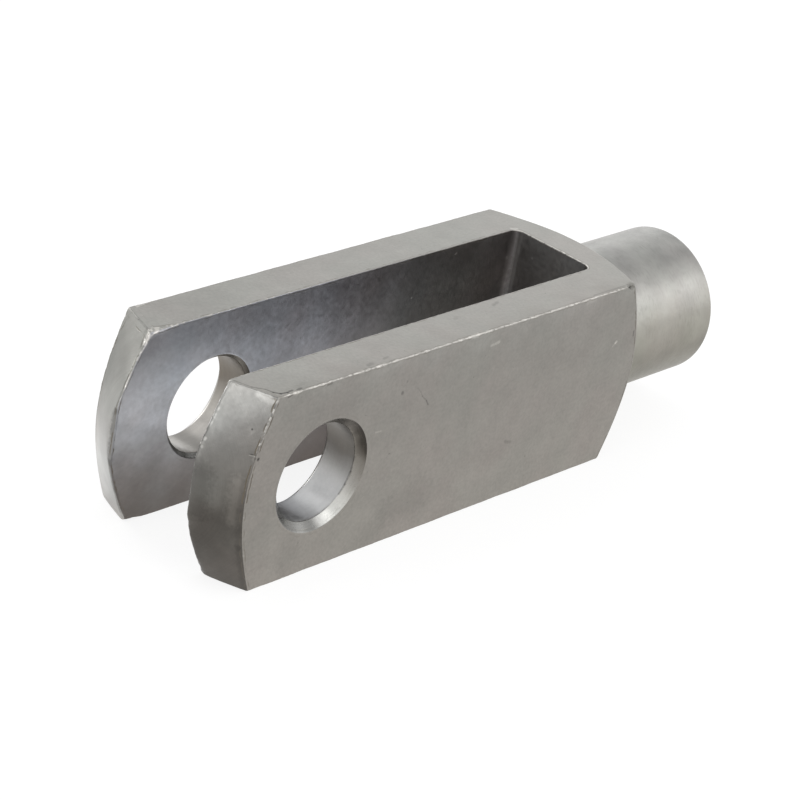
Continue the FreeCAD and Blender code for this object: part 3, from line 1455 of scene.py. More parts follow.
@dataclass(frozen=True)
class SteelFinish:
    """One machined surface of the steel: its colour, tool marks, grain, worn edges and painted
    shading.
    """

    name: str
    lay: Lay
    colour: Colour
    tint: Colour
    roughness: float
    anisotropy: float
    groove_size: float
    groove_depth: float
    groove_tone: float
    patch_size: float = 4.0
    patch_tone: float = 0.04
    grain_size: float = 0.3
    grain_depth: float = 0.002
    grain_tone: float = 0.03
    pit_share: float = 0.0
    chatter: float = 0.0
    tick_tone: float = 0.0
    marks: tuple[Mark, ...] = ()
    painted_gradients: tuple[PaintedGradient, ...] = ()
    burr_colour: Colour = (0.58, 0.562, 0.53)
    # Colour of the painted shadow line beside the burrs.
    shade_line_colour: Colour = (0.135, 0.117, 0.092)

    def stretched(self, graph: Graph) -> list[Socket]:
        """Places squeezed along the tool marks, once for each direction that they run in."""
        if self.lay is Lay.ALONG_BAR:
            return [graph.vector("MULTIPLY", graph.place, (0.05, 1.0, 1.0))]
        if self.lay is Lay.SLOT_MILL:
            mill_radius = 80.0
            mill_centre = -38.5
            apart = 7.0
            from_centre = graph.plus(graph.x, -mill_centre)
            squared = graph.times(from_centre, from_centre)
            rise = graph.math("SQRT", graph.minus(mill_radius**2, squared))
            slow = graph.times(graph.y, 0.08)
            coming = graph.joined(graph.minus(graph.z, rise), slow, 0.0)
            leaving = graph.joined(graph.plus(graph.z, rise), slow, apart)
            return [coming, leaving]
        if self.lay is Lay.ROUND_PIN_AXIS:
            squeeze = 0.05
            round_axis = (graph.x, graph.z)
            from_pin = graph.length(graph.x, 0.0, graph.z)
            run = graph.plus(graph.math("ABSOLUTE", graph.y), from_pin)
        else:
            squeeze = 0.04
            round_axis = (graph.y, graph.z)
            lean = -0.9 if self.lay is Lay.ROUND_NECK else 2.0
            run = graph.plus(graph.x, graph.times(graph.length(0.0, graph.y, graph.z), lean))
        return [graph.joined(run, *(graph.times(axis, squeeze) for axis in round_axis))]

    def across(self, graph: Graph) -> Socket:
        """Direction across the tool marks, in which they scatter light."""
        lean = 0.3
        if self.lay is Lay.ALONG_BAR:
            return graph.joined(0.0, 1.0, 1.0)
        if self.lay is Lay.SLOT_MILL:
            return graph.joined(1.0, 0.0, 0.15)
        if self.lay is Lay.ROUND_PIN_AXIS:
            from_pin = graph.length(graph.x, 0.0, graph.z)
            side = graph.times(graph.math("SIGN", graph.y), lean)
            return graph.joined(graph.x, graph.times(from_pin, side), graph.z)
        from_rod = graph.length(0.0, graph.y, graph.z)
        return graph.joined(graph.times(from_rod, lean), graph.y, graph.z)

    def tool_marks(self, graph: Graph) -> Socket:
        """Height of the tool marks, about from -1 to 1."""
        broad_share = 0.6
        middle = 0.8
        gain = 3.0
        total: Value = 0.0
        places = self.stretched(graph)
        for place in places:
            fine = graph.noise(place, self.groove_size, 3.0)
            broad = graph.noise(place, 5 * self.groove_size, 1.0)
            both = graph.plus(fine, graph.times(broad, broad_share))
            total = graph.plus(total, graph.minus(both, middle))
        height = graph.times(total, gain / len(places))
        if self.chatter:
            angle = graph.math("ARCTAN2", graph.z, graph.x)
            waves = graph.joined(graph.times(angle, 7.0), 0.0, 0.0)
            wave = graph.minus(graph.noise(waves, 1.0, 1.0), 0.5)
            height = graph.plus(height, graph.times(wave, self.chatter))
        return height

    def tone(self, graph: Graph, height: Socket, grain: Socket) -> Socket:
        """Factor on the colour, from patches, grain, grooves, marks, ticks and pits.

        Args:
            graph: Node tree of the material.
            height: Height of the tool marks.
            grain: Fine grain around 0.

        Returns:
            The factor.
        """
        patches = graph.minus(graph.cloud(self.patch_size, 3.0), 0.5)
        tone = graph.plus(
            graph.times(patches, 4.0 * self.patch_tone),
            graph.times(grain, 4.0 * self.grain_tone),
            graph.times(height, self.groove_tone),
            1.0,
        )
        for mark in self.marks:
            tone = graph.times(tone, graph.spread(mark.share(graph), 0.0, 1.0, 1.0, mark.tone))
        if self.tick_tone:
            tone = graph.times(tone, graph.minus(1.0, self.ticks(graph)))
        if self.pit_share:
            deep = 0.15 + self.pit_share
            level = 0.25 + self.pit_share
            tone = graph.times(tone, graph.spread(graph.cloud(0.4, 1.0), deep, level, 0.75, 1.0))
        return tone

    def ticks(self, graph: Graph) -> Socket:
        """How much short ticks darken the tool marks, which they do here and there."""
        tick_size = 0.2
        place_size = 4.5
        short = graph.vector("MULTIPLY", self.stretched(graph)[0], (1.0, 7.0, 7.0))
        dark = graph.spread(graph.noise(short, tick_size, 1.0), 0.5, 0.72, 0.0, self.tick_tone)
        ticked = graph.cloud(place_size, 1.0, (2.0, 4.0, 9.0))
        return graph.times(dark, graph.spread(ticked, 0.4, 0.6, 0.1, 1.0))

    def clean_steel(self, graph: Graph, height: Socket, grain: Socket) -> Socket:
        """Colour of the surface between its edges, with its painted light and shade.

        Args:
            graph: Node tree of the material.
            height: Height of the tool marks.
            grain: Fine grain around 0.

        Returns:
            The colour.
        """
        stains = graph.share(graph.cloud(6.0, 2.0, (31.0, 7.0, 3.0)), 0.35, 0.65)
        tinted = graph.mix(stains, (*self.colour, 1.0), (*self.tint, 1.0))
        colour = graph.vector("SCALE", tinted, self.tone(graph, height, grain))
        # Painted light and shade, each changing along one direction.
        for change in self.painted_gradients:
            colour = graph.vector("MULTIPLY", colour, change.factor(graph))
        return colour

    def worn_edges(self, graph: Graph) -> tuple[Socket, Socket, Socket]:
        """Marks of the broken edges.

        Args:
            graph: Node tree of the material.

        Returns:
            Lumps of the burrs, how bright the burrs shine, and how dark the painted shadow line
            beside them is.
        """
        gap = graph.attribute("edge_gap")
        burr = graph.attribute("edge_burr")
        shade_line_weight = graph.attribute("edge_shade_line")
        lumps = graph.cloud(0.55)
        ragged = graph.cloud(1.1, 2.0, (5.0, 9.0, 2.0))
        swell = graph.cloud(3.0, 1.0, (3.0, 1.0, 8.0))
        past_burr = graph.minus(gap, graph.spread(ragged, 0.3, 0.7, 0.05, 0.2))
        lit = graph.times(
            graph.spread(past_burr, -0.08, 0.04, 1.0, 0.0),
            graph.share(graph.plus(lumps, graph.times(burr, 0.3)), 0.64, 0.8),
            graph.share(burr, 0.0, 0.4),
            graph.spread(swell, 0.38, 0.6, 0.55, 1.0),
        )
        # Painted shadow line just past the burr, with a shallow groove in the bump.
        from_shade_line = graph.math("ABSOLUTE", graph.minus(past_burr, 0.06))
        shade_line = graph.times(
            graph.spread(from_shade_line, 0.015, 0.08, 1.0, 0.0),
            graph.spread(ragged, 0.43, 0.57, 0.05, 0.9),
            shade_line_weight,
        )
        return lumps, lit, shade_line

    def material(self) -> bpy.types.Material:
        """Makes the material.

        Returns:
            The finished steel.
        """
        grain_roughness = 0.25
        burr_polish = 0.12
        lump_height = 0.05
        fold_depth = 0.02
        material = bpy.data.materials.new(self.name)
        graph = Graph(material)
        inputs = graph.shader.inputs
        grain = graph.minus(graph.cloud(self.grain_size, 3.0), 0.5)
        height = self.tool_marks(graph)
        lumps, lit, shade_line = self.worn_edges(graph)
        steel = self.clean_steel(graph, height, grain)
        # The dark line beside each edge is painted shade.
        shaded_steel = graph.mix(shade_line, steel, (*self.shade_line_colour, 1.0))
        graph.feed(inputs["Base Color"], graph.mix(lit, shaded_steel, (*self.burr_colour, 1.0)))
        inputs["Metallic"].default_value = 1.0

        rough = graph.plus(graph.times(grain, grain_roughness), self.roughness)
        graph.feed(inputs["Roughness"], graph.minus(rough, graph.times(lit, burr_polish)))
        inputs["Anisotropic"].default_value = self.anisotropy
        graph.feed(inputs["Tangent"], self.across(graph))

        relief = graph.plus(
            graph.times(height, self.groove_depth),
            graph.times(grain, 4 * self.grain_depth),
            graph.times(lumps, lit, lump_height),
        )
        bump = graph.tree.nodes.new("ShaderNodeBump")
        bump.inputs["Distance"].default_value = MILLIMETRE
        graph.feed(bump.inputs["Height"], graph.minus(relief, graph.times(shade_line, fold_depth)))
        graph.feed(inputs["Normal"], bump.outputs[0])
        return material


ALONG_ROD = (1.0, 0.0, 0.0)
TO_FAR_SIDE = (0.0, 1.0, 0.0)
UPWARDS = (0.0, 0.0, 1.0)
TO_LOW_NEAR_SIDE = (0.0, -1.0, -1.0)
TO_HIGH_FAR_SIDE = (0.0, 0.7071, 0.7071)
TO_HIGH_NECK_SIDE = (0.866, 0.0, 0.5)


def marks_on(axis: int, place: float, rows: Iterable[tuple[float, ...]]) -> tuple[Mark, ...]:
    """Marks that lie on one flat face.

    Args:
        axis: Axis across the face.
        place: Place of the face along that axis.
        rows: For each mark, its start and its end in the two other axes, its radius and tone.

    Returns:
        One mark for each row.
    """
    marks = []
    for row in rows:
        start = list(row[:2])
        end = list(row[2:4])
        start.insert(axis, place)
        end.insert(axis, place)
        marks.append(Mark(tuple(start), tuple(end), *row[4:]))
    return tuple(marks)


def painted_streak(*knots: tuple[float, ...]) -> tuple[Mark, ...]:
    """Marks joined end to end, where each knot gives the radius and tone of what it starts.
    They draw lines of painted shade and painted highlight.
    """
    return tuple(Mark(knot[:3], after[:3], *knot[3:]) for knot, after in zip(knots, knots[1:]))


NEAR_FACE_MARKS = marks_on(
    axis=1,
    place=-10.0,
    rows=(
        (8.6, -8.3, 9.2, -7.9, 1.9, 0.92),
        (12.0, -7.0, 13.3, -6.4, 3.2, 0.95),
        (-3.2, -8.0, -2.9, -6.9, 1.9, 0.91),
        (21.2, 8.25, 22.3, 8.4, 0.2, 1.35),
        (41.0, 3.4, 41.4, 3.7, 0.15, 1.2),
        (41.4, 3.75, 41.52, 3.85, 0.2, 1.6),
        (6.5, 2.78, 7.18, 2.76, 0.15, 1.25),
        (9.29, 6.16, 9.3, 6.2, 0.24, 0.6),
        (9.68, 7.25, 9.7, 7.3, 0.18, 0.8),
        (11.39, 6.19, 11.95, 5.62, 0.1, 0.88),
        (11.95, 5.62, 12.27, 5.1, 0.1, 0.82),
        (12.27, 5.1, 13.0, 4.45, 0.1, 0.8),
        (13.0, 4.45, 13.33, 3.95, 0.12, 0.66),
        (26.43, -3.57, 27.26, -3.84, 0.24, 0.8),
        (10.0, -6.5, 17.0, -6.2, 2.2, 0.93),
        (-8.5, -6.0, -8.5, -1.0, 3.2, 0.94),
        (-4.5, 8.0, 1.5, 7.6, 2.6, 0.94),
        (42.05, 9.85, 42.15, 9.75, 0.5, 0.3),
        (44.15, 4.4, 44.2, 3.9, 0.12, 0.6),
        (-8.95, 4.2, -8.93, 4.18, 0.2, 0.3),
        (-1.35, 9.72, -0.9, 9.78, 0.2, 0.72),
        (6.2, 9.4, 8.2, 9.6, 0.35, 1.07),
        (35.3, 9.65, 36.3, 9.7, 0.35, 1.12),
        (-6.35, 9.75, -5.9, 9.85, 0.14, 0.6),
    ),
)
# Painted glints: bright spots along the near top long edge, and a lighter painted highlight along
# it by the shoulder.
LONG_EDGE_PAINTED_GLINTS = tuple(
    Mark((start, -9.98, 9.98), (end, -9.98, 9.98), radius, tone)
    for start, end, radius, tone in (
        (-5.5, -5.2, 0.3, 1.75),
        (2.8, 3.3, 0.26, 1.3),
        (6.0, 6.3, 0.28, 1.35),
        (18.2, 18.9, 0.36, 1.55),
        (20.0, 20.4, 0.28, 1.4),
        (23.7, 24.5, 0.26, 1.3),
        (26.7, 27.6, 0.27, 1.35),
        (36.5, 41.7, 0.15, 1.25),
    )
)
# Painted light and shade on the turned fronts: light patches and glints by the near flank, the
# near crest, the far corner and along both mouths; dark bands by the near mouth, on the far crest
# and down the far mouth; a dark line along the near flank. The small dark spots at the dents are
# nicks.
FRONT_NICKS_AND_PAINTED_LIGHT = (
    Mark((-10.15, -9.25, 1.6), (-10.1, -9.25, -2.0), 1.1, 1.42),
    Mark((-11.85, -6.1, 1.4), (-11.85, -6.0, -2.0), 1.8, 0.74),
    Mark((-8.1, -8.2, 9.7), (-7.75, -9.6, 9.5), 0.5, 1.4),
    Mark((-9.15, -8.87, 6.73), (-9.14, -8.87, 6.73), 0.12, 0.3),
    Mark((-9.56, -9.39, 4.5), (-9.2, -9.9, 4.5), 0.08, 1.5),
    Mark((-9.58, -9.39, 4.62), (-9.2, -9.9, 4.64), 0.06, 0.45),
    Mark((-9.2, -9.9, 4.3), (-9.0, -10.0, 4.2), 0.22, 0.35),
    Mark((-9.5, 5.6, 9.5), (-9.4, 5.5, 9.6), 0.6, 1.4),
    Mark((-10.25, -5.5, 7.5), (-10.28, -5.5, 7.45), 0.2, 1.35),
    Mark((-10.5, -5.5, 6.95), (-10.58, -5.5, 6.75), 0.2, 1.4),
    Mark((-10.8, -5.5, 6.25), (-10.83, -5.5, 6.2), 0.19, 1.5),
    Mark((-11.3, -5.5, 4.8), (-11.33, -5.5, 4.72), 0.21, 1.8),
    Mark((-11.55, -5.5, 4.05), (-11.58, -5.5, 4.0), 0.17, 1.55),
    Mark((-11.7, -6.4, 3.1), (-11.7, -6.1, 3.15), 0.1, 1.35),
    Mark((-9.1, -5.3, 9.6), (-10.9, -5.3, 6.0), 0.3, 1.3),
    *painted_streak(
        (-9.87, -9.65, 2.2, 0.4, 0.9),
        (-9.98, -9.65, -1.0, 0.45, 0.84),
        (-9.3, -9.65, -5.0, 0.45, 0.84),
        (-7.74, -9.65, -9.7),
    ),
    *painted_streak((-7.65, 9.6, 10.0, 0.16, 0.72), (-8.35, 7.6, 10.0, 0.16, 0.66), (-8.9, 5.9, 10.0)),
    Mark((-9.8, 5.45, 8.4), (-10.1, 5.45, 7.75), 0.16, 1.25),
    Mark((-10.1, 5.33, 7.72), (-10.13, 5.33, 7.66), 0.12, 0.7),
    Mark((-10.2, 5.43, 7.5), (-10.5, 5.43, 6.85), 0.15, 1.35),
    Mark((-10.54, 5.35, 6.74), (-10.57, 5.35, 6.68), 0.12, 0.65),
    Mark((-10.65, 5.4, 6.5), (-10.82, 5.4, 6.1), 0.13, 1.2),
    Mark((-10.88, 5.38, 5.95), (-11.1, 5.38, 5.45), 0.16, 0.64),
    Mark((-11.14, 5.4, 5.3), (-11.4, 5.35, 4.7), 0.2, 0.64),
    *painted_streak(
        (-11.45, 5.3, 4.6, 0.32, 0.75),
        (-12.0, 5.3, 2.5, 0.55, 0.58),
        (-12.0, 5.3, -2.8, 0.45, 0.64),
        (-11.0, 5.3, -6.0, 0.32, 0.75),
        (-9.31, 5.3, -9.6),
    ),
)
# Dark spots and a faint blotch on the top face, with painted shade along both crests of the front
# and beside the near long edge by the shoulder, and a painted highlight by the slot's far corner.
TOP_FACE_SPOTS_AND_PAINTED_LIGHT = marks_on(
    axis=2,
    place=10.0,
    rows=(
        (-4.0, 7.5, 1.5, 7.5, 2.6, 0.94),
        (-7.65, 9.6, -8.35, 7.6, 0.14, 0.76),
        (-8.35, 7.6, -8.9, 5.9, 0.14, 0.7),
        (36.5, -9.62, 41.7, -9.62, 0.12, 0.8),
        (25.1, -6.3, 26.1, -6.0, 0.25, 0.8),
        (19.3, -6.6, 19.8, -6.3, 0.25, 0.9),
        (25.4, -5.15, 26.0, -5.15, 0.18, 0.6),
        (4.4, -9.42, 5.0, -9.3, 0.28, 0.8),
        (6.7, -9.2, 7.4, -9.05, 0.2, 0.8),
        (-4.5, -9.3, -3.6, -9.0, 0.35, 0.92),
        (-8.85, -5.6, -8.3, -7.3, 0.1, 0.72),
        (-8.3, -7.3, -7.5, -8.2, 0.12, 0.62),
        (-7.5, -8.2, -7.25, -9.0, 0.13, 0.6),
        (-7.25, -9.0, -6.85, -9.5, 0.16, 0.5),
        (-6.85, -9.5, -6.1, -9.6, 0.17, 0.42),
        (-6.1, -9.6, -5.4, -9.5, 0.16, 0.5),
        (-4.95, -9.68, -4.4, -9.6, 0.16, 0.55),
        (41.0, 5.35, 41.5, 5.1, 0.25, 1.4),
    ),
)
# Painted highlight and shade down the slot's far corner: slightly light at the top, darker further
# down.
SLOT_CORNER_PAINTED_STRIPE = tuple(
    Mark((41.27, 4.76, start), (41.27, 4.76, end), 0.22, tone)
    for start, end, tone in (
        (8.8, 9.7, 1.05),
        (7.3, 8.5, 0.9),
        (5.8, 7.0, 0.77),
        (-10.0, 5.5, 0.66),
    )
)
# Painted glints: a bright stroke along the near tip's lip and a bright spot on the slot's bottom.
SLOT_PAINTED_GLINTS = (
    Mark((-9.1, -5.2, 9.6), (-10.9, -5.2, 6.0), 0.3, 1.6),
    Mark((41.5, 2.4, 7.8), (41.5, 2.5, 7.8), 0.18, 1.5),
)
# Painted light and shade on the far wall: a dark band down its mouth, dark blotches deep in the
# slot and near the top of the mouth, lighter near the tip, and a few small painted glints.
FAR_WALL_PAINTED_LIGHT = marks_on(
    axis=1,
    place=5.12,
    rows=(
        (-11.45, 4.6, -12.0, 2.5, 0.2, 0.8),
        (-12.0, 2.5, -12.0, -3.2, 0.3, 0.64),
        (-12.0, -3.2, -9.31, -9.6, 0.25, 0.75),
        (28.0, 2.4, 39.0, 1.6, 4.0, 0.78),
        (-9.0, 2.0, -8.0, 2.8, 2.8, 1.06),
        (-11.0, 7.5, -9.5, 8.5, 2.2, 0.9),
        (7.5, 2.0, 9.0, 2.8, 2.6, 0.9),
        (26.7, 5.35, 26.75, 5.4, 0.12, 2.2),
        (32.3, 9.0, 32.5, 9.1, 0.12, 1.9),
        (40.8, 6.8, 40.8, 6.95, 0.18, 1.4),
    ),
)
# Painted shade and highlight on the near bore's rim: a dark arc down its neck side and a light arc
# above it.
RIM_PAINTED_LIGHT = (
    *painted_streak(
        (5.0, -9.2, 0.2, 0.14, 0.62),
        (4.83, -9.2, -1.29, 0.16, 0.55),
        (4.33, -9.2, -2.5, 0.14, 0.6),
        (3.72, -9.2, -3.35),
    ),
    *painted_streak((2.5, -9.2, 4.33, 0.28, 1.2), (3.83, -9.2, 3.21, 0.28, 1.2), (4.7, -9.2, 1.71)),
)
FINISHES: dict[Region, SteelFinish] = {
    Region.BAR_FACE: SteelFinish(
        "drawn_bar_face",
        Lay.ALONG_BAR,
        (0.314, 0.3045, 0.288),
        (0.307, 0.3055, 0.287),
        roughness=0.5,
        anisotropy=0.0,
        groove_size=0.35,
        groove_depth=0.001,
        groove_tone=0.012,
        patch_size=2.6,
        patch_tone=0.055,
        grain_size=0.32,
        grain_depth=0.003,
        grain_tone=0.11,
        pit_share=0.02,
        marks=NEAR_FACE_MARKS + LONG_EDGE_PAINTED_GLINTS + TOP_FACE_SPOTS_AND_PAINTED_LIGHT,
        # Painted shade: darkest and warmest just below the near top long edge, lighter down the
        # near cheek and across the top face.
        painted_gradients=(
            painted_gradient(
                TO_LOW_NEAR_SIDE,
                (-20.0, 1.0),
                (-3.0, 1.05),
                (2.0, 0.83, 0.806, 0.785),
                (10.0, 0.892, 0.86, 0.836),
                (20.0, 0.985, 0.94, 0.905),
            ),
        ),
    ),
    Region.SLOT: SteelFinish(
        "milled_slot",
        Lay.SLOT_MILL,
        # Lighter than the bar faces; part of that is painted light against the shade inside the
        # slot.
        (0.508, 0.514, 0.52),
        (0.527, 0.513, 0.51),
        roughness=0.5,
        anisotropy=0.5,
        groove_size=0.5,
        groove_depth=0.005,
        groove_tone=0.09,
        patch_size=3.5,
        patch_tone=0.1,
        grain_size=0.45,
        grain_tone=0.1,
        marks=SLOT_PAINTED_GLINTS + SLOT_CORNER_PAINTED_STRIPE + FAR_WALL_PAINTED_LIGHT,
        painted_gradients=(
            # Painted light and shade on the far wall: lighter towards the mouth, darker deep in
            # the slot.
            painted_gradient(
                ALONG_ROD,
                (-12.0, 0.96, 0.97, 1.0),
                (-4.0, 1.14, 1.17, 1.23),
                (6.0, 1.18, 1.22, 1.3),
                (13.0, 1.17, 1.17, 1.23),
                (19.0, 0.85, 0.82, 0.84),
                (26.0, 0.63, 0.62, 0.6),
                (34.0, 0.65, 0.615, 0.57),
                (39.0, 0.7, 0.64, 0.61),
                (41.5, 0.7, 0.65, 0.62),
                far_only=True,
            ),
            # Painted shade on the far wall: dark at the bottom, a light band just above the
            # middle, darker again at the top.
            painted_gradient(
                UPWARDS,
                (-10.0, 0.25, 0.222, 0.195),
                (-5.0, 0.38, 0.352, 0.32),
                (-1.0, 0.905, 0.895, 0.885),
                (3.0, 1.2, 1.22, 1.23),
                (7.0, 0.73, 0.73, 0.74),
                (10.0, 0.58, 0.58, 0.59),
                far_only=True,
            ),
            # Painted shade on the slot's bottom and the ends of its corners.
            painted_gradient(
                ALONG_ROD,
                (41.27, 1.0),
                (41.42, 0.31, 0.304, 0.293),
            ),
        ),
    ),
    Region.TURNED_FRONT: SteelFinish(
        "turned_front",
        Lay.ROUND_ROD_AXIS,
        # Darker than the bar faces; part of that is painted shade for the dark surroundings that
        # the front reflects.
        (0.242, 0.236, 0.226),
        (0.236, 0.236, 0.226),
        roughness=0.36,
        anisotropy=0.6,
        groove_size=0.3,
        groove_depth=0.002,
        groove_tone=0.055,
        patch_size=2.0,
        patch_tone=0.085,
        grain_size=0.4,
        grain_tone=0.05,
        marks=FRONT_NICKS_AND_PAINTED_LIGHT,
        painted_gradients=(
            # Painted light and shade: dark towards the low near side, light towards the top of the
            # far side.
            painted_gradient(
                TO_HIGH_FAR_SIDE,
                (-10.6, 0.51, 0.475, 0.445),
                (-8.5, 0.305, 0.283, 0.263),
                (-6.5, 0.42, 0.388, 0.363),
                (-4.5, 0.79, 0.765, 0.73),
                (-1.8, 0.67, 0.655, 0.645),
                (0.0, 0.75),
                (3.5, 1.5),
                (6.5, 1.5, 1.49, 1.46),
                (8.8, 1.13, 1.13, 1.1),
                (10.6, 1.03, 1.03, 1.0),
            ),
            # Painted highlight on the far front, lighter towards its bottom.
            painted_gradient(
                UPWARDS,
                (-10.0, 2.3, 2.3, 2.33),
                (-5.0, 2.1, 2.1, 2.14),
                (-2.5, 1.5, 1.5, 1.52),
                (0.0, 1.12, 1.12, 1.13),
                (3.0, 1.0),
                far_only=True,
            ),
        ),
    ),
    Region.TURNED_NECK: SteelFinish(
        "turned_neck",
        Lay.ROUND_NECK,
        (0.302, 0.297, 0.285),
        (0.294, 0.297, 0.28),
        roughness=0.38,
        anisotropy=0.6,
        groove_size=0.26,
        groove_depth=0.0006,
        groove_tone=0.018,
        patch_size=2.6,
        patch_tone=0.11,
        tick_tone=0.1,
        painted_gradients=(
            # Painted light and shade on the neck and shoulder: light bands at about 1.5 and 6.3 mm
            # up, dark bands at about 2 mm down and near the top.
            painted_gradient(
                UPWARDS,
                (-8.0, 1.02, 0.97, 0.88),
                (-2.0, 0.665, 0.63, 0.555),
                (1.5, 1.38, 1.33, 1.24),
                (4.0, 0.93, 0.915, 0.905),
                (6.3, 1.4, 1.38, 1.38),
                (8.0, 0.74, 0.74, 0.75),
            ),
        ),
    ),
    Region.PIN_BORE: SteelFinish(
        "reamed_bore",
        Lay.ROUND_PIN_AXIS,
        (0.33, 0.33, 0.328),
        (0.32, 0.322, 0.32),
        roughness=0.34,
        anisotropy=0.4,
        groove_size=0.3,
        groove_depth=0.0015,
        groove_tone=0.04,
        patch_size=1.5,
        patch_tone=0.08,
        grain_tone=0.05,
        # Painted shade: a dark streak low in the near bore, on its front side.
        marks=RIM_PAINTED_LIGHT + (Mark((-2.2, -8.6, -4.5), (-0.6, -8.4, -5.0), 0.6, 0.72),),
        painted_gradients=(
            # Painted light and shade: a light crescent up the neck side of each bore, dark beyond
            # it at the top.
            painted_gradient(
                TO_HIGH_NECK_SIDE,
                (-5.0, 0.95),
                (-2.5, 1.1),
                (-0.2, 1.38, 1.38, 1.39),
                (1.3, 1.76, 1.75, 1.75),
                (2.5, 1.9, 1.88, 1.85),
                (4.2, 0.5, 0.465, 0.43),
                (5.0, 0.55, 0.51, 0.46),
            ),
            # Painted shade: the bore darker towards the far cheek.
            painted_gradient(TO_FAR_SIDE, (-5.0, 1.0), (5.0, 0.74, 0.71, 0.67)),
            # Painted highlight high on the neck side of the far bore.
            painted_gradient(TO_HIGH_NECK_SIDE, (2.0, 1.0), (4.6, 1.5), far_only=True),
        ),
    ),
    Region.PIN_CHAMFER: SteelFinish(
        "bore_chamfer",
        Lay.ROUND_PIN_AXIS,
        (0.345, 0.34, 0.33),
        (0.325, 0.325, 0.31),
        roughness=0.3,
        anisotropy=0.3,
        groove_size=0.3,
        groove_depth=0.001,
        groove_tone=0.06,
        grain_depth=0.0004,
        chatter=1.2,
        painted_gradients=(
            # Painted light and shade: a light crescent on the neck side of each chamfer, dark
            # towards both ends and darkest at the top of the neck side.
            painted_gradient(
                TO_HIGH_NECK_SIDE,
                (-5.4, 0.5),
                (-4.4, 0.64),
                (-2.6, 0.455),
                (-1.0, 0.98),
                (0.6, 1.85),
                (1.8, 1.75, 1.73, 1.7),
                (3.0, 0.93, 0.9, 0.865),
                (4.7, 0.54, 0.5, 0.455),
                (5.15, 0.2, 0.18, 0.16),
                (5.4, 0.14, 0.126, 0.112),
            ),
        ),
        marks=RIM_PAINTED_LIGHT,
    ),
    Region.THREAD: SteelFinish(
        "cut_thread",
        Lay.ROUND_NECK,
        (0.31, 0.3, 0.285),
        (0.29, 0.29, 0.275),
        roughness=0.4,
        anisotropy=0.0,
        groove_size=0.3,
        groove_depth=0.002,
        groove_tone=0.03,
    ),
}


def direction(azimuth: float, elevation: float) -> Vector:
    """Direction at an angle round from the rod's axis and above the level, in degrees."""
    turn = math.radians(azimuth)
    lift = math.radians(elevation)
    level = math.cos(lift)
    return Vector((math.cos(turn) * level, math.sin(turn) * level, math.sin(lift)))


def seen_by(tree: bpy.types.NodeTree, *rays: str) -> Socket:
    """1 for rays of the kinds named, such as those of the camera, and 0 for all others."""
    path = tree.nodes.new("ShaderNodeLightPath")
    seen = path.outputs[rays[0]]
    for ray in rays[1:]:
        either = tree.nodes.new("ShaderNodeMath")
        either.operation = "MAXIMUM"
        tree.links.new(seen, either.inputs[0])
        tree.links.new(path.outputs[ray], either.inputs[1])
        seen = either.outputs[0]
    return seen


def shown_strength(tree: bpy.types.NodeTree, seen: Socket, unseen: float, shown: float) -> Socket:
    """Strength of a light that differs for the rays that see it."""
    strength = tree.nodes.new("ShaderNodeMapRange")
    strength.inputs["To Min"].default_value = unseen
    strength.inputs["To Max"].default_value = shown
    tree.links.new(seen, strength.inputs["Value"])
    return strength.outputs["Result"]


@dataclass(frozen=True)
class SoftBox:
    """A soft lamp: degrees round from the rod's axis and above the level, and watts."""

    name: str
    azimuth: float
    elevation: float
    power: float
    size: float = 0.4
    distance: float = 0.8
    aim: Triple = (0.025, 0.0, 0.0)

    def hang(self) -> None:
        """Hangs the lamp so that it faces the head, with its lower edge above the floor."""
        data = bpy.data.lights.new(self.name, "AREA")
        data.shape = "SQUARE"
        data.size = self.size
        data.energy = self.power
        lamp = in_scene(self.name, data)
        aim = Vector(self.aim)
        lowest = self.size / 2 * math.cos(math.radians(self.elevation))
        lamp.location = aim + direction(self.azimuth, self.elevation) * self.distance
        lamp.location.z = max(lamp.location.z, lowest)
        lamp.rotation_euler = (aim - lamp.location).to_track_quat("-Z", "Y").to_euler()


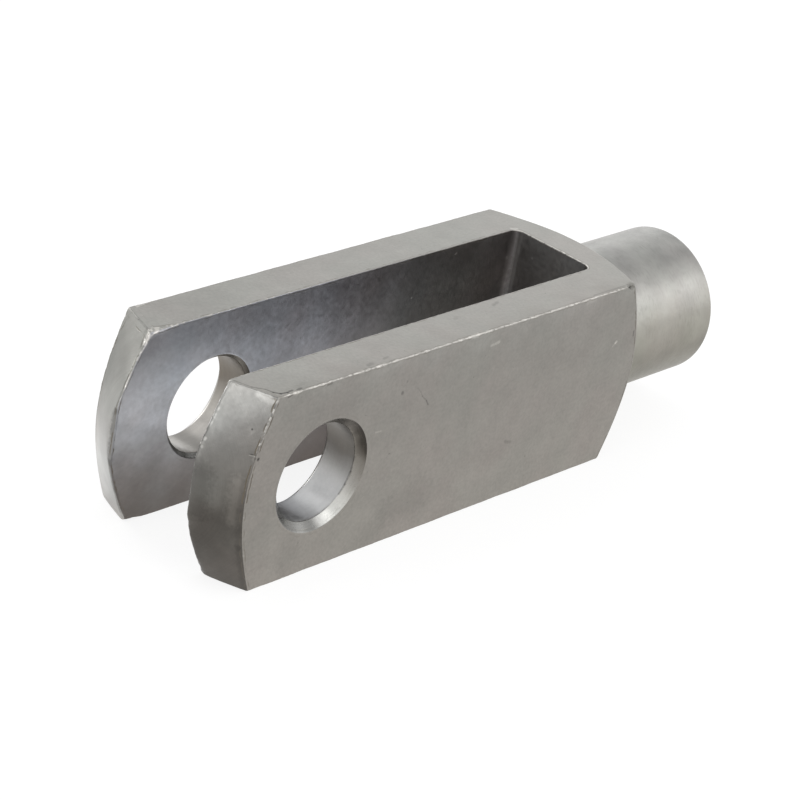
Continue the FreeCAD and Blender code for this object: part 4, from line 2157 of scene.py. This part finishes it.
@dataclass(frozen=True)
class Studio:
    """Camera, floor and lights of the photograph."""

    azimuth: float = -51.183
    elevation: float = 26.452
    roll: float = 10.563
    offset: Triple = (-14.236, -2.742, 263.416)
    lens: float = 127.53
    floor_height: float = -10.0
    floor_reach: float = 3.0
    floor_tone: float = 0.24
    floor_glow: float = 0.82
    world_light: float = 0.75
    world_white: float = 1.0
    lamps: tuple[SoftBox, ...] = (
        SoftBox("left_softbox", 180.0, 8.0, 0.9),
        SoftBox("low_back_softbox", 90.0, 8.0, 2.0),
        SoftBox("high_back_softbox", 90.0, 58.0, 0.3),
        SoftBox("right_softbox", 30.0, 8.0, 0.48),
        SoftBox("low_front_softbox", 330.0, 8.0, 0.73),
        SoftBox("high_front_softbox", 292.0, 43.0, 0.95),
    )

    def camera(self) -> None:
        """Sets the camera at the photograph's place."""
        turn = math.radians(self.azimuth)
        tilt = math.radians(self.roll)
        back = direction(self.azimuth - 90.0, self.elevation)
        level = Vector((math.cos(turn), math.sin(turn), 0.0))
        up = back.cross(level)
        right = level * math.cos(tilt) + up * math.sin(tilt)
        top = up * math.cos(tilt) - level * math.sin(tilt)
        across, upward, away = self.offset
        place = (back * away - right * across - top * upward) * MILLIMETRE
        data = bpy.data.cameras.new("photo_camera")
        data.lens = self.lens
        data.sensor_width = 36.0
        data.clip_start = 0.01
        data.clip_end = 20.0
        camera = in_scene("photo_camera", data)
        facing = Matrix((right, top, back)).transposed().to_4x4()
        camera.matrix_world = Matrix.Translation(place) @ facing
        bpy.context.scene.camera = camera

    def floor(self) -> None:
        """Lays the pale floor under the head."""
        mesh = bpy.data.meshes.new("studio_floor")
        reach = self.floor_reach
        height = self.floor_height * MILLIMETRE
        around = ((-1, -1), (1, -1), (1, 1), (-1, 1))
        corners = [(x * reach, y * reach, height) for x, y in around]
        mesh.from_pydata(corners, [], [(0, 1, 2, 3)])
        floor = in_scene("studio_floor", mesh)
        material = bpy.data.materials.new("white_floor")
        material.use_nodes = True
        material.cycles.emission_sampling = "NONE"
        tree = material.node_tree
        inputs = tree.nodes["Principled BSDF"].inputs
        inputs["Base Color"].default_value = (*[self.floor_tone] * 3, 1.0)
        inputs["Roughness"].default_value = 0.9
        inputs["Specular IOR Level"].default_value = 0.0
        inputs["Emission Color"].default_value = (1.0, 1.0, 1.0, 1.0)
        seen = seen_by(tree, "Is Camera Ray", "Is Glossy Ray", "Is Transmission Ray")
        glow = shown_strength(tree, seen, 0.0, self.floor_glow)
        tree.links.new(glow, inputs["Emission Strength"])
        mesh.materials.append(material)

    def world(self) -> None:
        """Lights the studio evenly from all round."""
        world = bpy.data.worlds.new("studio_world")
        world.use_nodes = True
        world.cycles.sampling_method = "NONE"
        tree = world.node_tree
        inputs = tree.nodes["Background"].inputs
        inputs["Color"].default_value = (1.0, 1.0, 1.0, 1.0)
        seen = seen_by(tree, "Is Camera Ray", "Is Glossy Ray")
        strength = shown_strength(tree, seen, self.world_light, self.world_white)
        tree.links.new(strength, inputs["Strength"])
        bpy.context.scene.world = world

    def build(self) -> None:
        """Sets up everything round the head."""
        self.camera()
        self.floor()
        self.world()
        for lamp in self.lamps:
            lamp.hang()
        bpy.context.scene.view_settings.view_transform = "Standard"
        LOG.info("studio: camera, floor and %d soft lamps", len(self.lamps))


def main() -> None:
    """Builds the head and its studio."""
    logging.basicConfig(level=logging.INFO, format="%(name)s: %(message)s")
    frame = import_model()
    LOG.info("packed nodes: %s", sorted(frame["nodes"]))
    materials = [FINISHES[region].material() for region in Region]
    head = ForkHead().build("clevis_head", materials)
    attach(head, "root")
    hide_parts("fork_head")
    LOG.info("%s: %d faces", head.name, len(head.data.polygons))
    Studio().build()


if __name__ == "__main__":
    main()
